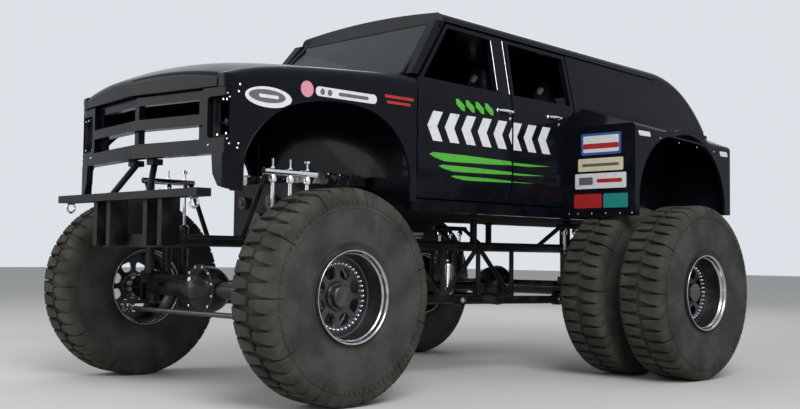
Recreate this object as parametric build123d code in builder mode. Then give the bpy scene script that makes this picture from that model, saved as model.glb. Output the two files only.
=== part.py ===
from build123d import *
import os
from math import cos, radians, sin

os.makedirs("parts", exist_ok=True)

# A six-tyred monster truck with a four-door utility wagon body on a tubular truss chassis.
# X runs forward, Y to the left and Z up. The origin is on the ground under the middle.

# Stance
wheelbase = 3240
front_axle_x = 2200
rear_axle_x = front_axle_x - wheelbase

# Wheels
tyre_radius = 704
tyre_width = 415
lug_height = 26
lug_width = 58
lug_count = 44
rim_radius = 303
front_wheel_y = 1237
rear_outer_y = 1873
rear_inner_y = 1305
axle_z = tyre_radius
barrel_radius = 286
barrel_wall = 12
disc_recess = 175
disc_thickness = 16
hub_radius = 92
hand_hole_radius = 27
hand_hole_circle = 165
hand_hole_count = 8
running_gap = 0.05
moving_gap = 8
seat_gap = 0.3

# Knuckles and steering
kingpin_y = 950
kingpin_radius = 25
kingpin_boss = 50
yoke_half_height = 95
knuckle_plate = 28
knuckle_radius = 62
spindle_radius = 45
arm_length = 250
arm_width = 60
ball_pin_radius = 12
tie_rod_radius = 22
tie_rod_eye = 34
tie_rod_drop = 58

# Axles
axle_tube_radius = 62
pumpkin_radius = 175
pumpkin_y = -200
pinion_reach = 250
pinion_radius = 70
link_y = 620
link_z = 600
link_radius = 34
link_eye = 46
link_eye_half = link_radius + 2
link_pin = 15
bracket_wall = 14
shock_y = 760
shock_pitch = 150
shock_seat_z = axle_z + axle_tube_radius + 40

# Chassis truss
rail_y = 480
rail_radius = 35
web_radius = 20
top_rail_z = 1060
low_rail_z = 620
cross_radius = 31
post_radius = 30
chassis_front_x = 2860
chassis_rear_x = -2760

# Body shell
door_thickness = 50
post_gap = 6
post_thickness = 30
shell_depth = door_thickness + post_gap + post_thickness
sill_y = 900
sill_z = 1310
tuck_y = 962
tuck_z = 1500
waist_y = 980
waist_z = 1720
shoulder_z = 2080
belt_y = 962
belt_z = 2275
rail_top_y = 842
rail_top_z = 2890
floor_thickness = 40
rocker_top = 1395

# Doors and shut lines
hinge_gap = 12
hinge_radius = 5
hinge_leaf = 6
hinge_length = 60
door_hinge_heights = (1780, 2000)
shut_gap = 18
door_front_x = 1180
b_line_x = 104
rear_door_rear_x = -600
rear_door_step_x = -740
rear_door_step_z = 2240
window_sill_z = 2300
a_pillar_width = 85
a_pillar_top_x = 790
roof_bottom_front = 2795
roof_bottom_rear = 2696
roof_front_x = 800
body_rear_x = -2905
tail_length = 755
roof_rear_x = body_rear_x + tail_length
roof_thickness = 76
roof_crown = 112
tail_radius = 824
tail_start_angle = 0.5
tail_end_angle = 64.3
tailgate_thickness = 50
tailgate_bottom = 1420
tailgate_hinge_y = 500

# Front end: its plan comes to a blunt point, so the nose falls back towards the sides
nose_x = 3000
nose_sweep = 0.153
nose_corner = 95
front_zone = 400
firewall_x = door_front_x - 60
overall_half = nose_x + 50
hood_half = 842
hood_rear_x = 1300
hood_hinge_z = 2340
hood_hinge_y = 560
lid_hinge_radius = 9
lid_hinge_gap = 20
nose_low_z = 2062
cowl_top_z = 2310
hood_skin = 28
hood_front_radius = 55
fender_y = 976
grille_setback = 12
grille_recess = 40
grille_wall = 50
grille_top = 2036
grille_bottom = 1612
ear_inner_y = 800
ear_drop = 241
ear_depth = 50

# Rear flares
flare_front_x = -640
flare_rear_x = -2170
flare_y = 1655
flare_wall = 32
flare_bottom = 1320
flare_top_z = 2080
flare_rear_top_z = 1995
flare_dome = 34


def tube(start, end, radius):
    """Add a round tube between two points to the part under construction."""
    start = Vector(*start)
    run = Vector(*end) - start
    with BuildSketch(Plane(origin=start, z_dir=run)) as section:
        Circle(radius)
    extrude(section.sketch, amount=run.length)


def plate(plane, points, thickness, mode=Mode.ADD):
    """Add or cut a flat plate with the given outline, centred on the plane."""
    with BuildSketch(plane) as outline:
        with BuildLine():
            Polyline(*points, close=True)
        make_face()
    extrude(outline.sketch, amount=thickness / 2, both=True, mode=mode)


def box(low, high, mode=Mode.ADD):
    """Add or cut a box between two opposite corners."""
    size = [b - a for a, b in zip(low, high)]
    middle = [(a + b) / 2 for a, b in zip(low, high)]
    with Locations(tuple(middle)):
        Box(*size, mode=mode)


def flank_curve(side, inset):
    """Draw the body side from the sill up to the belt line, moved inwards by the inset."""

    def at(y, z):
        return (side * (y - inset), z)

    ThreePointArc(at(sill_y, sill_z), at(tuck_y, tuck_z), at(waist_y, waist_z))
    Line(at(waist_y, waist_z), at(waist_y, shoulder_z))
    ThreePointArc(at(waist_y, shoulder_z), at(waist_y - 5, (shoulder_z + belt_z) / 2), at(belt_y, belt_z))


def side_curve(side, inset):
    """Draw the body side from the sill up to the roof rail, moved inwards by the inset."""
    flank_curve(side, inset)
    Line((side * (belt_y - inset), belt_z), (side * (rail_top_y - inset), rail_top_z))


def side_shell(side, x_start, x_end, outer, inner, mode=Mode.ADD):
    """Extrude a layer of the body side between two insets along X."""
    with BuildSketch(Plane.YZ.offset(x_start)) as layer:
        with BuildLine():
            side_curve(side, outer)
            side_curve(side, inner)
            Line((side * (sill_y - outer), sill_z), (side * (sill_y - inner), sill_z))
            Line((side * (rail_top_y - outer), rail_top_z), (side * (rail_top_y - inner), rail_top_z))
        make_face()
    extrude(layer.sketch, amount=x_end - x_start, mode=mode)


def cabin_block(x_start, x_end, inset):
    """Extrude the whole cross-section between the body sides along X."""
    with BuildSketch(Plane.YZ.offset(x_start)) as section:
        with BuildLine():
            side_curve(1, inset)
            side_curve(-1, inset)
            Line((inset - sill_y, sill_z), (sill_y - inset, sill_z))
            Line((inset - rail_top_y, rail_top_z), (rail_top_y - inset, rail_top_z))
        make_face()
    extrude(section.sketch, amount=x_end - x_start)


def side_view(points, mode=Mode.INTERSECT):
    """Trim or cut the part with an outline drawn in the side view, as X and Z."""
    plate(Plane.XZ, points, 4 * flare_y, mode)


def cut_below(z):
    """Remove all of the part under construction that lies below z."""
    box((-2 * overall_half, -flare_y, -tyre_radius), (2 * overall_half, flare_y, z), Mode.SUBTRACT)


def cut_above(z, x_start=-2 * overall_half):
    """Remove all of the part above z, in front of x_start."""
    box((x_start, -flare_y, z), (2 * overall_half, flare_y, z + rail_top_z), Mode.SUBTRACT)


def roof_bottom(x):
    """Height of the roof's lower edge, which falls evenly towards the rear."""
    share = (roof_front_x - x) / (roof_front_x - roof_rear_x)
    return roof_bottom_front + (roof_bottom_rear - roof_bottom_front) * share


def tail_point(angle, height=0):
    """Point of the tail's arc in the side view, at an angle from the end of the roof."""
    reach = tail_radius + height
    middle_x = roof_rear_x + tail_radius * sin(radians(tail_start_angle))
    middle_z = roof_bottom_rear - tail_radius * cos(radians(tail_start_angle))
    return (middle_x - reach * sin(radians(angle)), middle_z + reach * cos(radians(angle)))


tail_middle_angle = (tail_start_angle + tail_end_angle) / 2
tail_foot_z = tail_point(tail_end_angle)[1]
tailgate_top = tail_foot_z - 14


def nose_plan(half, tip_x, corner):
    """Sketch the front end's plan: straight flanks, rounded corners and a blunt point."""
    rear = firewall_x - front_zone
    side_x = tip_x - nose_sweep * half
    with BuildSketch() as plan:
        with BuildLine():
            Polyline((rear, -half), (side_x, -half), (tip_x, 0), (side_x, half), (rear, half), close=True)
        make_face()
        if corner:
            fillet(plan.vertices().group_by(Axis.X)[1], corner)
    return plan.sketch


def nose_block(half, tip_x, corner, low, high, mode=Mode.ADD):
    """Add, cut or keep the space below the front end's plan between two heights."""
    plan = nose_plan(half, tip_x, corner)
    extrude(Pos(0, 0, low) * plan, amount=high - low, mode=mode)


# Outlines in the side view
front_door_outline = [
    (door_front_x, rocker_top + hinge_gap),
    (door_front_x, belt_z + 15),
    (door_front_x - 40, window_sill_z + 15),
    (a_pillar_top_x - 18, roof_bottom(a_pillar_top_x) - 22),
    (b_line_x, roof_bottom(b_line_x) - 22),
    (b_line_x, rocker_top + hinge_gap),
]
front_window_outline = [
    (door_front_x - 72, window_sill_z + 8),
    (a_pillar_top_x - 32, roof_bottom(a_pillar_top_x) - 52),
    (b_line_x + 150, roof_bottom(b_line_x) - 52),
    (b_line_x + 170, window_sill_z - 10),
]
rear_door_front_x = b_line_x - shut_gap
rear_door_outline = [
    (rear_door_front_x, rocker_top + hinge_gap),
    (rear_door_front_x, roof_bottom(rear_door_front_x) - 22),
    (rear_door_step_x + 30, roof_bottom(rear_door_step_x) - 22),
    (rear_door_step_x, rear_door_step_z),
    (rear_door_rear_x, shoulder_z),
    (rear_door_rear_x, rocker_top + hinge_gap),
]
rear_window_outline = [
    (rear_door_front_x - 28, window_sill_z - 14),
    (rear_door_front_x - 40, roof_bottom(rear_door_front_x) - 52),
    (rear_door_step_x + 62, roof_bottom(rear_door_step_x) - 52),
    (rear_door_step_x + 38, window_sill_z - 24),
]
doorway_outline = [
    (door_front_x + 100, rocker_top),
    (door_front_x + 100, belt_z + 22),
    (door_front_x + 8, belt_z + 22),
    (a_pillar_top_x + 2, roof_bottom(a_pillar_top_x) - 14),
    (rear_door_step_x + 12, roof_bottom(rear_door_step_x) - 14),
    (rear_door_step_x - shut_gap, rear_door_step_z - 8),
    (rear_door_rear_x - shut_gap, shoulder_z - 8),
    (rear_door_rear_x - shut_gap, rocker_top),
]
shell_outline = [
    (door_front_x - 8, sill_z),
    (door_front_x - 8, cowl_top_z + 12),
    (door_front_x + 56, cowl_top_z + 12),
    (a_pillar_top_x + a_pillar_width, roof_bottom(a_pillar_top_x) - seat_gap),
    (roof_rear_x, roof_bottom(roof_rear_x) - seat_gap),
    (body_rear_x, roof_bottom(roof_rear_x) - seat_gap),
    (body_rear_x, sill_z + 60),
    (body_rear_x + 60, sill_z),
]


def make_tyre():
    """Revolve one tyre with bulging sidewalls about its axle and set its two rows of lugs on it."""
    half = tyre_width / 2
    bead = half - 42
    tread = tyre_radius - lug_height
    axle = Axis((0, 0, axle_z), (0, 1, 0))
    profile = Plane(origin=(0, 0, axle_z), x_dir=(0, 1, 0), z_dir=(-1, 0, 0))
    tip = (tyre_radius**2 - (lug_width / 2) ** 2) ** 0.5
    with BuildPart() as tyre:
        with BuildSketch(profile) as section:
            with BuildLine():
                Line((-bead, barrel_radius), (bead, barrel_radius))
                Line((bead, barrel_radius), (bead, rim_radius + 20))
                ThreePointArc((bead, rim_radius + 20), (half, 480), (half - 14, tread - 60))
                ThreePointArc((half - 14, tread - 60), (half - 28, tread - 18), (half - 62, tread))
                Line((half - 62, tread), (62 - half, tread))
                ThreePointArc((62 - half, tread), (28 - half, tread - 18), (14 - half, tread - 60))
                ThreePointArc((14 - half, tread - 60), (-half, 480), (-bead, rim_radius + 20))
                Line((-bead, rim_radius + 20), (-bead, barrel_radius))
            make_face()
        revolve(section.sketch, axis=axle)
        pitch = 360 / lug_count
        lugs = []
        for row in (1, -1):
            with BuildSketch(profile) as lug:
                with BuildLine():
                    Polyline(
                        (row * 12, 14 - tread),
                        (row * 12, -tip),
                        (row * (half - 52), -tip),
                        (row * (half - 6), 44 - tread),
                        close=True,
                    )
                make_face()
            block = extrude(lug.sketch, amount=lug_width / 2, both=True, mode=Mode.PRIVATE)
            lugs += [block.rotate(axle, pitch * (index + 0.25 * row)) for index in range(lug_count)]
        add(lugs)
    return tyre.part


def make_rim(y, side):
    """Revolve one deep rim: flanged barrel and the disc set in from its outer lip."""
    half = tyre_width / 2
    bead = half - 42 + seat_gap
    outer = barrel_radius - seat_gap
    inner = outer - barrel_wall
    lip_end = half - 8
    axle = Axis((0, y, axle_z), (0, 1, 0))
    profile = Plane(origin=(0, y, axle_z), x_dir=(0, 1, 0), z_dir=(-1, 0, 0))
    with BuildSketch(profile) as section:
        with BuildLine():
            Polyline(
                (-lip_end, inner),
                (lip_end, inner),
                (lip_end, rim_radius),
                (bead, rim_radius),
                (bead, outer),
                (-bead, outer),
                (-bead, rim_radius),
                (-lip_end, rim_radius),
                close=True,
            )
        make_face()
        disc = side * (half - disc_recess)
        with Locations((disc, (inner + 1) / 2)):
            Rectangle(disc_thickness, inner + 1)
    revolve(section.sketch, axis=axle)
    face = Plane(origin=(0, y + side * (half - disc_recess - disc_thickness), axle_z), z_dir=(0, side, 0))
    with BuildSketch(face) as holes:
        with PolarLocations(hand_hole_circle, hand_hole_count):
            Circle(hand_hole_radius)
    extrude(holes.sketch, amount=2 * disc_thickness, mode=Mode.SUBTRACT)


def wheel_parts(x, side, rows):
    """Make the tyres and the rims with their hub for one wheel body."""
    disc_y = rows[-1] + side * (tyre_width / 2 - disc_recess)
    with BuildPart() as tyres:
        for y in rows:
            add(Pos(0, y, 0) * tyre)
    with BuildPart() as rims:
        for y in rows:
            make_rim(y, side)
        hub_start = spindle_end(side, rows) - side * 150
        with BuildSketch(Plane(origin=(0, hub_start, axle_z), z_dir=(0, side, 0))):
            Circle(hub_radius)
        extrude(amount=abs(disc_y - hub_start) + 62)
        with BuildSketch(Plane(origin=(0, hub_start, axle_z), z_dir=(0, side, 0))):
            Circle(spindle_radius + running_gap)
        extrude(amount=150 + moving_gap, mode=Mode.SUBTRACT)
    tyres.part.position = (x, 0, 0)
    rims.part.position = (x, 0, 0)
    return tyres.part, rims.part


def spindle_end(side, rows):
    """Y of the free end of the spindle that carries the rows of wheels."""
    if len(rows) == 1:
        return side * (front_wheel_y + 40)
    return side * (rear_inner_y + 20)


# Tyres and rims
tyre = make_tyre()
wheel_table = [
    ("front", front_axle_x, [front_wheel_y]),
    ("rear", rear_axle_x, [rear_inner_y, rear_outer_y]),
]
finished = {}
for end, x, rows in wheel_table:
    for name, side in (("left", 1), ("right", -1)):
        tyres, rims = wheel_parts(x, side, [side * y for y in rows])
        word = "tyre" if end == "front" else "tyres"
        finished[f"{word}_{end}_{name}"] = tyres
        finished[f"{'rim' if end == 'front' else 'rims'}_{end}_{name}"] = rims

# Axles: tube, differential, shock seats and link brackets, with each axle's own ends
def axle_body(x, link_way):
    """Add what both axles share; the links leave towards link_way along X."""
    with Locations((x, pumpkin_y, axle_z)):
        Sphere(pumpkin_radius)
    tube((x, pumpkin_y, axle_z), (x + link_way * pinion_reach, pumpkin_y, axle_z), pinion_radius)
    for side in (1, -1):
        low = (x - 190, side * shock_y - 45, axle_z + axle_tube_radius - 25)
        box(low, (x + 190, side * shock_y + 45, shock_seat_z))
        inner = side * (link_y - link_eye_half - seat_gap - bracket_wall / 2)
        outline = [(x - 50, axle_z), (x + 50, axle_z)]
        outline += [(x + link_way * 80 + 40, link_z - 35), (x + link_way * 80 - 40, link_z - 35)]
        plate(Plane.XZ.offset(-inner), outline, bracket_wall)
        pin_x = x + link_way * 80
        tube((pin_x, inner, link_z), (pin_x, side * (link_y + 40), link_z), link_pin)


with BuildPart() as front_axle:
    tube((front_axle_x, -kingpin_y, axle_z), (front_axle_x, kingpin_y, axle_z), axle_tube_radius)
    axle_body(front_axle_x, -1)
    for side in (1, -1):
        foot = (front_axle_x, side * kingpin_y, axle_z - yoke_half_height)
        tube(foot, (front_axle_x, side * kingpin_y, axle_z + yoke_half_height), kingpin_boss)
    with BuildSketch(Plane.XY.offset(axle_z - yoke_half_height)):
        with Locations((front_axle_x, kingpin_y), (front_axle_x, -kingpin_y)):
            Circle(kingpin_radius + running_gap)
    extrude(amount=2 * yoke_half_height, mode=Mode.SUBTRACT)
finished["front_axle"] = front_axle.part

spindle_length = 150
with BuildPart() as rear_axle:
    spindle_tip = rear_inner_y + 20
    tube_end = spindle_tip - spindle_length - 2 * moving_gap
    tube((rear_axle_x, -tube_end, axle_z), (rear_axle_x, tube_end, axle_z), axle_tube_radius)
    tube((rear_axle_x, -spindle_tip, axle_z), (rear_axle_x, spindle_tip, axle_z), spindle_radius)
    axle_body(rear_axle_x, 1)
finished["rear_axle"] = rear_axle.part


def make_knuckle(side):
    """Build a knuckle: two plates about the kingpin, a web, the spindle and the steering arm."""
    x = front_axle_x
    y = side * kingpin_y
    plate_z = yoke_half_height + 5
    web_y = kingpin_boss + 12
    web_wall = 30
    edges = sorted((y + side * web_y, y + side * (web_y + web_wall)))
    top = axle_z + plate_z + knuckle_plate
    bottom = axle_z - plate_z - knuckle_plate
    with BuildPart() as knuckle:
        for low in (axle_z + plate_z, bottom):
            with BuildSketch(Plane.XY.offset(low)):
                with Locations((x, y)):
                    Circle(knuckle_radius)
                with Locations((x, y + side * web_y / 2)):
                    Rectangle(2 * knuckle_radius, web_y)
            extrude(amount=knuckle_plate)
        box((x - knuckle_radius, edges[0], bottom), (x + knuckle_radius, edges[1], top))
        tube((x, y, bottom + 10), (x, y, top - 10), kingpin_radius)
        tube((x, y + side * (web_y + 10), axle_z), (x, side * (front_wheel_y + 40), axle_z), spindle_radius)
        with BuildSketch(Plane.XY.offset(bottom)):
            with Locations((x + arm_length / 2, y)):
                SlotCenterToCenter(arm_length, arm_width)
        extrude(amount=knuckle_plate)
        tube((x + arm_length, y, bottom - tie_rod_drop), (x + arm_length, y, bottom + 10), ball_pin_radius)
    return knuckle.part


finished["knuckle_left"] = make_knuckle(1)
finished["knuckle_right"] = make_knuckle(-1)

# Tie rod: a tube with an eye over each arm's pin
arm_bottom = axle_z - yoke_half_height - 5 - knuckle_plate
tie_rod_z = arm_bottom - moving_gap - tie_rod_radius
with BuildPart() as tie_rod:
    eye_x = front_axle_x + arm_length
    tube((eye_x, -kingpin_y, tie_rod_z), (eye_x, kingpin_y, tie_rod_z), tie_rod_radius - 3)
    for side in (1, -1):
        foot = (eye_x, side * kingpin_y, tie_rod_z - tie_rod_radius)
        tube(foot, (eye_x, side * kingpin_y, tie_rod_z + tie_rod_radius), tie_rod_eye)
    for side, clearance in ((1, running_gap), (-1, 1.0)):
        with BuildSketch(Plane.XY.offset(tie_rod_z - 2 * tie_rod_radius)):
            with Locations((eye_x, side * kingpin_y)):
                Circle(ball_pin_radius + clearance)
        extrude(amount=4 * tie_rod_radius, mode=Mode.SUBTRACT)
finished["tie_rod"] = tie_rod.part

# Chassis: two trusses with cross tubes, body posts and the shock hoops
truss_front_x = 1250
truss_rear_x = -500
truss_bays = 4
bay = (truss_front_x - truss_rear_x) / truss_bays
case_x = 730
front_shock_z = 1530
rear_shock_z = 1250
hoop_radius = 22
front_link_x = truss_front_x - 320
rear_link_x = truss_rear_x + 820
with BuildPart() as chassis_frame:
    for side in (1, -1):
        y = side * rail_y
        tube((chassis_rear_x, y, top_rail_z), (chassis_front_x, y, top_rail_z), rail_radius)
        tube((truss_rear_x, y, low_rail_z), (truss_front_x, y, low_rail_z), rail_radius)
        for index in range(truss_bays + 1):
            x = truss_rear_x + index * bay
            tube((x, y, low_rail_z), (x, y, top_rail_z), web_radius)
        for index in range(truss_bays):
            x = truss_rear_x + index * bay
            rising = index % 2 == 0
            foot = (x, y, low_rail_z) if rising else (x + bay, y, low_rail_z)
            head = (x + bay, y, top_rail_z) if rising else (x, y, top_rail_z)
            tube(foot, head, web_radius)
        for x in (-2500, -1300, 0, 1000):
            tube((x, y, top_rail_z), (x, y, sill_z - seat_gap), post_radius)
        for x in (front_link_x, rear_link_x):
            tube((x, y, low_rail_z), (x, side * (link_y + 40), low_rail_z), link_pin)
        for x, top in ((front_axle_x, front_shock_z), (rear_axle_x, rear_shock_z)):
            tube((x - 230, side * shock_y, top), (x + 230, side * shock_y, top), hoop_radius)
            for step in (-200, 200):
                tube((x + step, y, top_rail_z), (x + step, side * shock_y, top), hoop_radius - 3)
    for x in (chassis_rear_x + 60, -1700, truss_rear_x, case_x, truss_front_x, chassis_front_x - 60):
        tube((x, -rail_y, top_rail_z), (x, rail_y, top_rail_z), cross_radius)
    for x in (truss_rear_x, case_x, truss_front_x):
        tube((x, -rail_y, low_rail_z), (x, rail_y, low_rail_z), cross_radius)
finished["chassis_frame"] = chassis_frame.part

# Rear hitch: a square receiver tube under the rear cross tube
receiver_half = 38
receiver_wall = 12
hitch_pin_radius = 8
hitch_top = top_rail_z - cross_radius - seat_gap
hitch_z = hitch_top - receiver_half
with BuildPart() as rear_hitch:
    front = chassis_rear_x + 100
    inner = receiver_half - receiver_wall
    box((-overall_half, -receiver_half, hitch_z - receiver_half), (front, receiver_half, hitch_top))
    box((-overall_half - 5, -inner, hitch_z - inner), (front - 40, inner, hitch_z + inner), Mode.SUBTRACT)
    with BuildSketch(Plane.XZ.offset(-receiver_half - 5)):
        with Locations((-overall_half + 60, hitch_z)):
            Circle(hitch_pin_radius)
    extrude(amount=2 * receiver_half + 10, mode=Mode.SUBTRACT)
finished["rear_hitch"] = rear_hitch.part

# Suspension: a lower link at each corner, with an eye over a pin at each end
with BuildPart() as suspension_links:
    for side in (1, -1):
        y = side * link_y
        for axle_x, way, frame_x in ((front_axle_x, -1, front_link_x), (rear_axle_x, 1, rear_link_x)):
            axle_end = (axle_x + way * 80, y, link_z)
            frame_end = (frame_x, y, low_rail_z)
            tube(axle_end, frame_end, link_radius)
            for x, z in ((axle_end[0], link_z), (frame_x, low_rail_z)):
                tube((x, y - link_eye_half, z), (x, y + link_eye_half, z), link_eye)
    with BuildSketch(Plane.XZ.offset(-link_y - 60)):
        with Locations(
            (front_axle_x - 80, link_z),
            (front_link_x, low_rail_z),
            (rear_axle_x + 80, link_z),
            (rear_link_x, low_rail_z),
        ):
            Circle(link_pin + seat_gap)
    extrude(amount=2 * link_y + 120, mode=Mode.SUBTRACT)
finished["suspension_links"] = suspension_links.part

# Shock absorbers: three at each corner between the axle's seat and the hoop
with BuildPart() as shock_absorbers:
    for x, top in ((front_axle_x, front_shock_z), (rear_axle_x, rear_shock_z)):
        head = top - hoop_radius - seat_gap
        foot = shock_seat_z + seat_gap
        for side in (1, -1):
            for step in (-1, 0, 1):
                spot = (x + step * shock_pitch, side * shock_y)
                tube((*spot, foot), (*spot, head), 14)
                tube((*spot, foot), (*spot, foot + 0.55 * (head - foot)), 36)
finished["shock_absorbers"] = shock_absorbers.part

# Driveline: transfer case and the two propeller shafts
shaft_radius = 40
case_half = 170
with BuildPart() as driveline:
    case_bottom = low_rail_z + cross_radius + seat_gap
    box((case_x - case_half, pumpkin_y - 135, case_bottom), (case_x + case_half, pumpkin_y + 135, 950))
    front_end = front_axle_x - pinion_reach - seat_gap
    rear_end = rear_axle_x + pinion_reach + seat_gap
    tube((rear_end, pumpkin_y, axle_z), (front_end, pumpkin_y, axle_z), shaft_radius)
finished["driveline"] = driveline.part

# Engine: one plain block on the chassis, and its two finned covers
engine_rear_x = 1180
engine_front_x = 1880
engine_half = 330
engine_bottom = top_rail_z + cross_radius + seat_gap
engine_top = 1500
with BuildPart() as engine_block:
    box((engine_rear_x, -engine_half, engine_bottom), (engine_front_x, engine_half, engine_top))
finished["engine_block"] = engine_block.part

cover_inner = 250
cover_outer = engine_half + 100
cover_rear_x = engine_rear_x + 20
cover_front_x = engine_front_x - 60
cover_top = engine_top + 70
fin_count = 8
fin_pitch = 22
fin_width = 8
fin_height = 14
with BuildPart() as valve_covers:
    for side in (1, -1):
        edges = sorted((side * cover_inner, side * cover_outer))
        box((cover_rear_x, edges[0], engine_top + seat_gap), (cover_front_x, edges[1], cover_top))
        for index in range(fin_count):
            fin_y = edges[0] + fin_width + index * fin_pitch
            low = (cover_rear_x + 10, fin_y, cover_top - 10)
            box(low, (cover_front_x - 10, fin_y + fin_width, cover_top + fin_height))
finished["valve_covers"] = valve_covers.part

# Front bumper: a plank on four posts, with two bent tubes up to the nose
bumper_z = 1330
bumper_top = bumper_z + 52
bumper_depth = 110
bumper_half = 900
bumper_post_rows = (-420, -240, 240, 420)
post_half = 25
plate_half = 500
stay_radius = 22
stay_y = 120
stay_foot_y = 250
pad_half = 40
bumper_seat = chassis_front_x + seat_gap
with BuildPart() as front_bumper:
    box((overall_half - bumper_depth, -bumper_half, bumper_z), (overall_half, bumper_half, bumper_top))
    box((bumper_seat, -plate_half, top_rail_z - 50), (bumper_seat + 40, plate_half, top_rail_z + 40))
    for y in bumper_post_rows:
        low = (bumper_seat + 10, y - post_half, top_rail_z - 40)
        box(low, (overall_half - 40, y + post_half, bumper_z + 10))
    for side in (1, -1):
        head = Vector(nose_x - 130, side * stay_y, grille_bottom - 30)
        tube((overall_half - 60, side * stay_foot_y, bumper_z + 30), head, stay_radius)
        low = head - Vector(pad_half, pad_half, 10)
        box(tuple(low), (head.X + pad_half, side * stay_y + pad_half, grille_bottom - seat_gap))
finished["front_bumper"] = front_bumper.part


# Doors and body sides
front_hinge_x = door_front_x + hinge_gap / 2
rear_hinge_x = b_line_x - shut_gap / 2


def door_knuckle(side, axis_x, z):
    """Add one hinge knuckle on a door's axis and the leaf that joins it to the door."""
    tube((axis_x, side * waist_y, z), (axis_x, side * waist_y, z + hinge_length), hinge_radius)
    edges = sorted((side * (waist_y - hinge_leaf), side * waist_y))
    box((axis_x - hinge_gap - 10, edges[0], z), (axis_x, edges[1], z + hinge_length))


def make_door(side, outline, window, axis_x):
    """Build a door as one layer of the body side with its window cut out and its knuckles."""
    with BuildPart() as door:
        side_shell(side, body_rear_x, nose_x, 0, door_thickness)
        side_view(outline)
        side_view(window, Mode.SUBTRACT)
        for z in door_hinge_heights:
            door_knuckle(side, axis_x, z)
    return door.part


def make_post(side, x_start, x_end, top_start, top_end):
    """Build a post behind the shut line of a door, from the rocker up to its sloping top."""
    with BuildPart() as post:
        side_shell(side, x_start, x_end, door_thickness + post_gap, shell_depth)
        side_view([(x_start, sill_z), (x_start, top_start), (x_end, top_end), (x_end, sill_z)])
    return post.part


def trim_below_tail(height):
    """Keep only what lies in front of the tail's arc, or a height above it."""
    start = tail_point(tail_start_angle, height - seat_gap)
    middle = tail_point(tail_middle_angle, height - seat_gap)
    foot = tail_point(tail_end_angle, height - seat_gap)
    with BuildSketch(Plane.XZ) as side_outline:
        with BuildLine():
            ThreePointArc(start, middle, foot)
            Polyline(
                foot,
                (body_rear_x, tail_foot_z),
                (body_rear_x, -tyre_radius),
                (nose_x, -tyre_radius),
                (nose_x, 2 * rail_top_z),
                (start[0], 2 * rail_top_z),
                start,
            )
        make_face()
    extrude(side_outline.sketch, amount=2 * flare_y, both=True, mode=Mode.INTERSECT)


def make_body_side(side):
    """Build the fixed side: rocker, pillars, roof rail and closed rear quarter."""
    low = b_line_x - 80
    high = b_line_x + 62
    b_post = make_post(side, low, high, roof_bottom(low) - seat_gap, roof_bottom(high) - seat_gap)
    post_end = door_front_x + (hinge_gap + hinge_leaf) / 2
    hinge_post = make_post(side, door_front_x - 60, post_end, belt_z + 120, belt_z + 50)
    with BuildPart() as frame:
        side_shell(side, body_rear_x, nose_x, 0, shell_depth)
        side_view(shell_outline)
        trim_below_tail(0)
        side_view(doorway_outline, Mode.SUBTRACT)
        add(b_post)
        add(hinge_post)
        for axis_x in (front_hinge_x, rear_hinge_x):
            for z in door_hinge_heights:
                low_z = z - hinge_length - seat_gap
                tube((axis_x, side * waist_y, low_z), (axis_x, side * waist_y, z - seat_gap), hinge_radius)
                edges = sorted((side * (waist_y - door_thickness - post_gap - 10), side * waist_y))
                half = hinge_leaf / 2
                box((axis_x - half, edges[0], low_z), (axis_x + half, edges[1], z - seat_gap))
    return frame.part


for name, side in (("left", 1), ("right", -1)):
    finished[f"door_front_{name}"] = make_door(side, front_door_outline, front_window_outline, front_hinge_x)
    finished[f"door_rear_{name}"] = make_door(side, rear_door_outline, rear_window_outline, rear_hinge_x)
    finished[f"body_side_{name}"] = make_body_side(side)



def lid_knuckle(axis_x, z, start, end):
    """Add a knuckle of a lid's hinge between two values of Y, and return its sorted ends."""
    low, high = sorted((start, end))
    tube((axis_x, low, z), (axis_x, high, z), lid_hinge_radius)
    return low, high


# Floor pan between the rockers, with the rear sill and the tailgate's fixed knuckles
cabin_inset = shell_depth + seat_gap
tailgate_x = body_rear_x - moving_gap
tailgate_hinge_x = tailgate_x - tailgate_thickness / 2
tailgate_hinge_z = tailgate_bottom - lid_hinge_radius - 6
with BuildPart() as floor_pan:
    cabin_block(body_rear_x, door_front_x - 30, cabin_inset)
    rear_sill_x = body_rear_x + 45
    cut_above(tailgate_bottom - moving_gap)
    cut_above(sill_z + floor_thickness, rear_sill_x)
    for side in (1, -1):
        outer_end = side * (tailgate_hinge_y + hinge_length)
        low, high = lid_knuckle(tailgate_hinge_x, tailgate_hinge_z, side * tailgate_hinge_y, outer_end)
        box((tailgate_hinge_x, low, tailgate_hinge_z - 6), (rear_sill_x, high, tailgate_hinge_z + 3))
finished["floor_pan"] = floor_pan.part

# Firewall with the cowl above it
cowl_half = hood_half - 4
cowl_front_x = hood_rear_x - lid_hinge_gap
hood_hinge_x = hood_rear_x - lid_hinge_gap / 2
glass_base = (1238, cowl_top_z + 12)
glass_top_x = 812
with BuildPart() as firewall_cowl:
    cabin_block(firewall_x, firewall_x + 30, cabin_inset)
    cut_below(sill_z + floor_thickness + seat_gap)
    cut_above(cowl_top_z - 40)
    cowl = [
        (firewall_x, cowl_top_z - 70),
        (cowl_front_x, cowl_top_z - 70),
        (cowl_front_x, cowl_top_z - 15),
        (glass_base[0] + 14, glass_base[1] - seat_gap),
        (firewall_x, glass_base[1] - seat_gap),
    ]
    plate(Plane.XZ, cowl, 2 * cowl_half)
    for side in (1, -1):
        outer_end = side * (hood_hinge_y + hinge_length)
        low, high = lid_knuckle(hood_hinge_x, hood_hinge_z, side * hood_hinge_y, outer_end)
        box((hood_hinge_x - 20, low, cowl_top_z - 30), (hood_hinge_x - 4, high, hood_hinge_z))
finished["firewall_cowl"] = firewall_cowl.part

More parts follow.
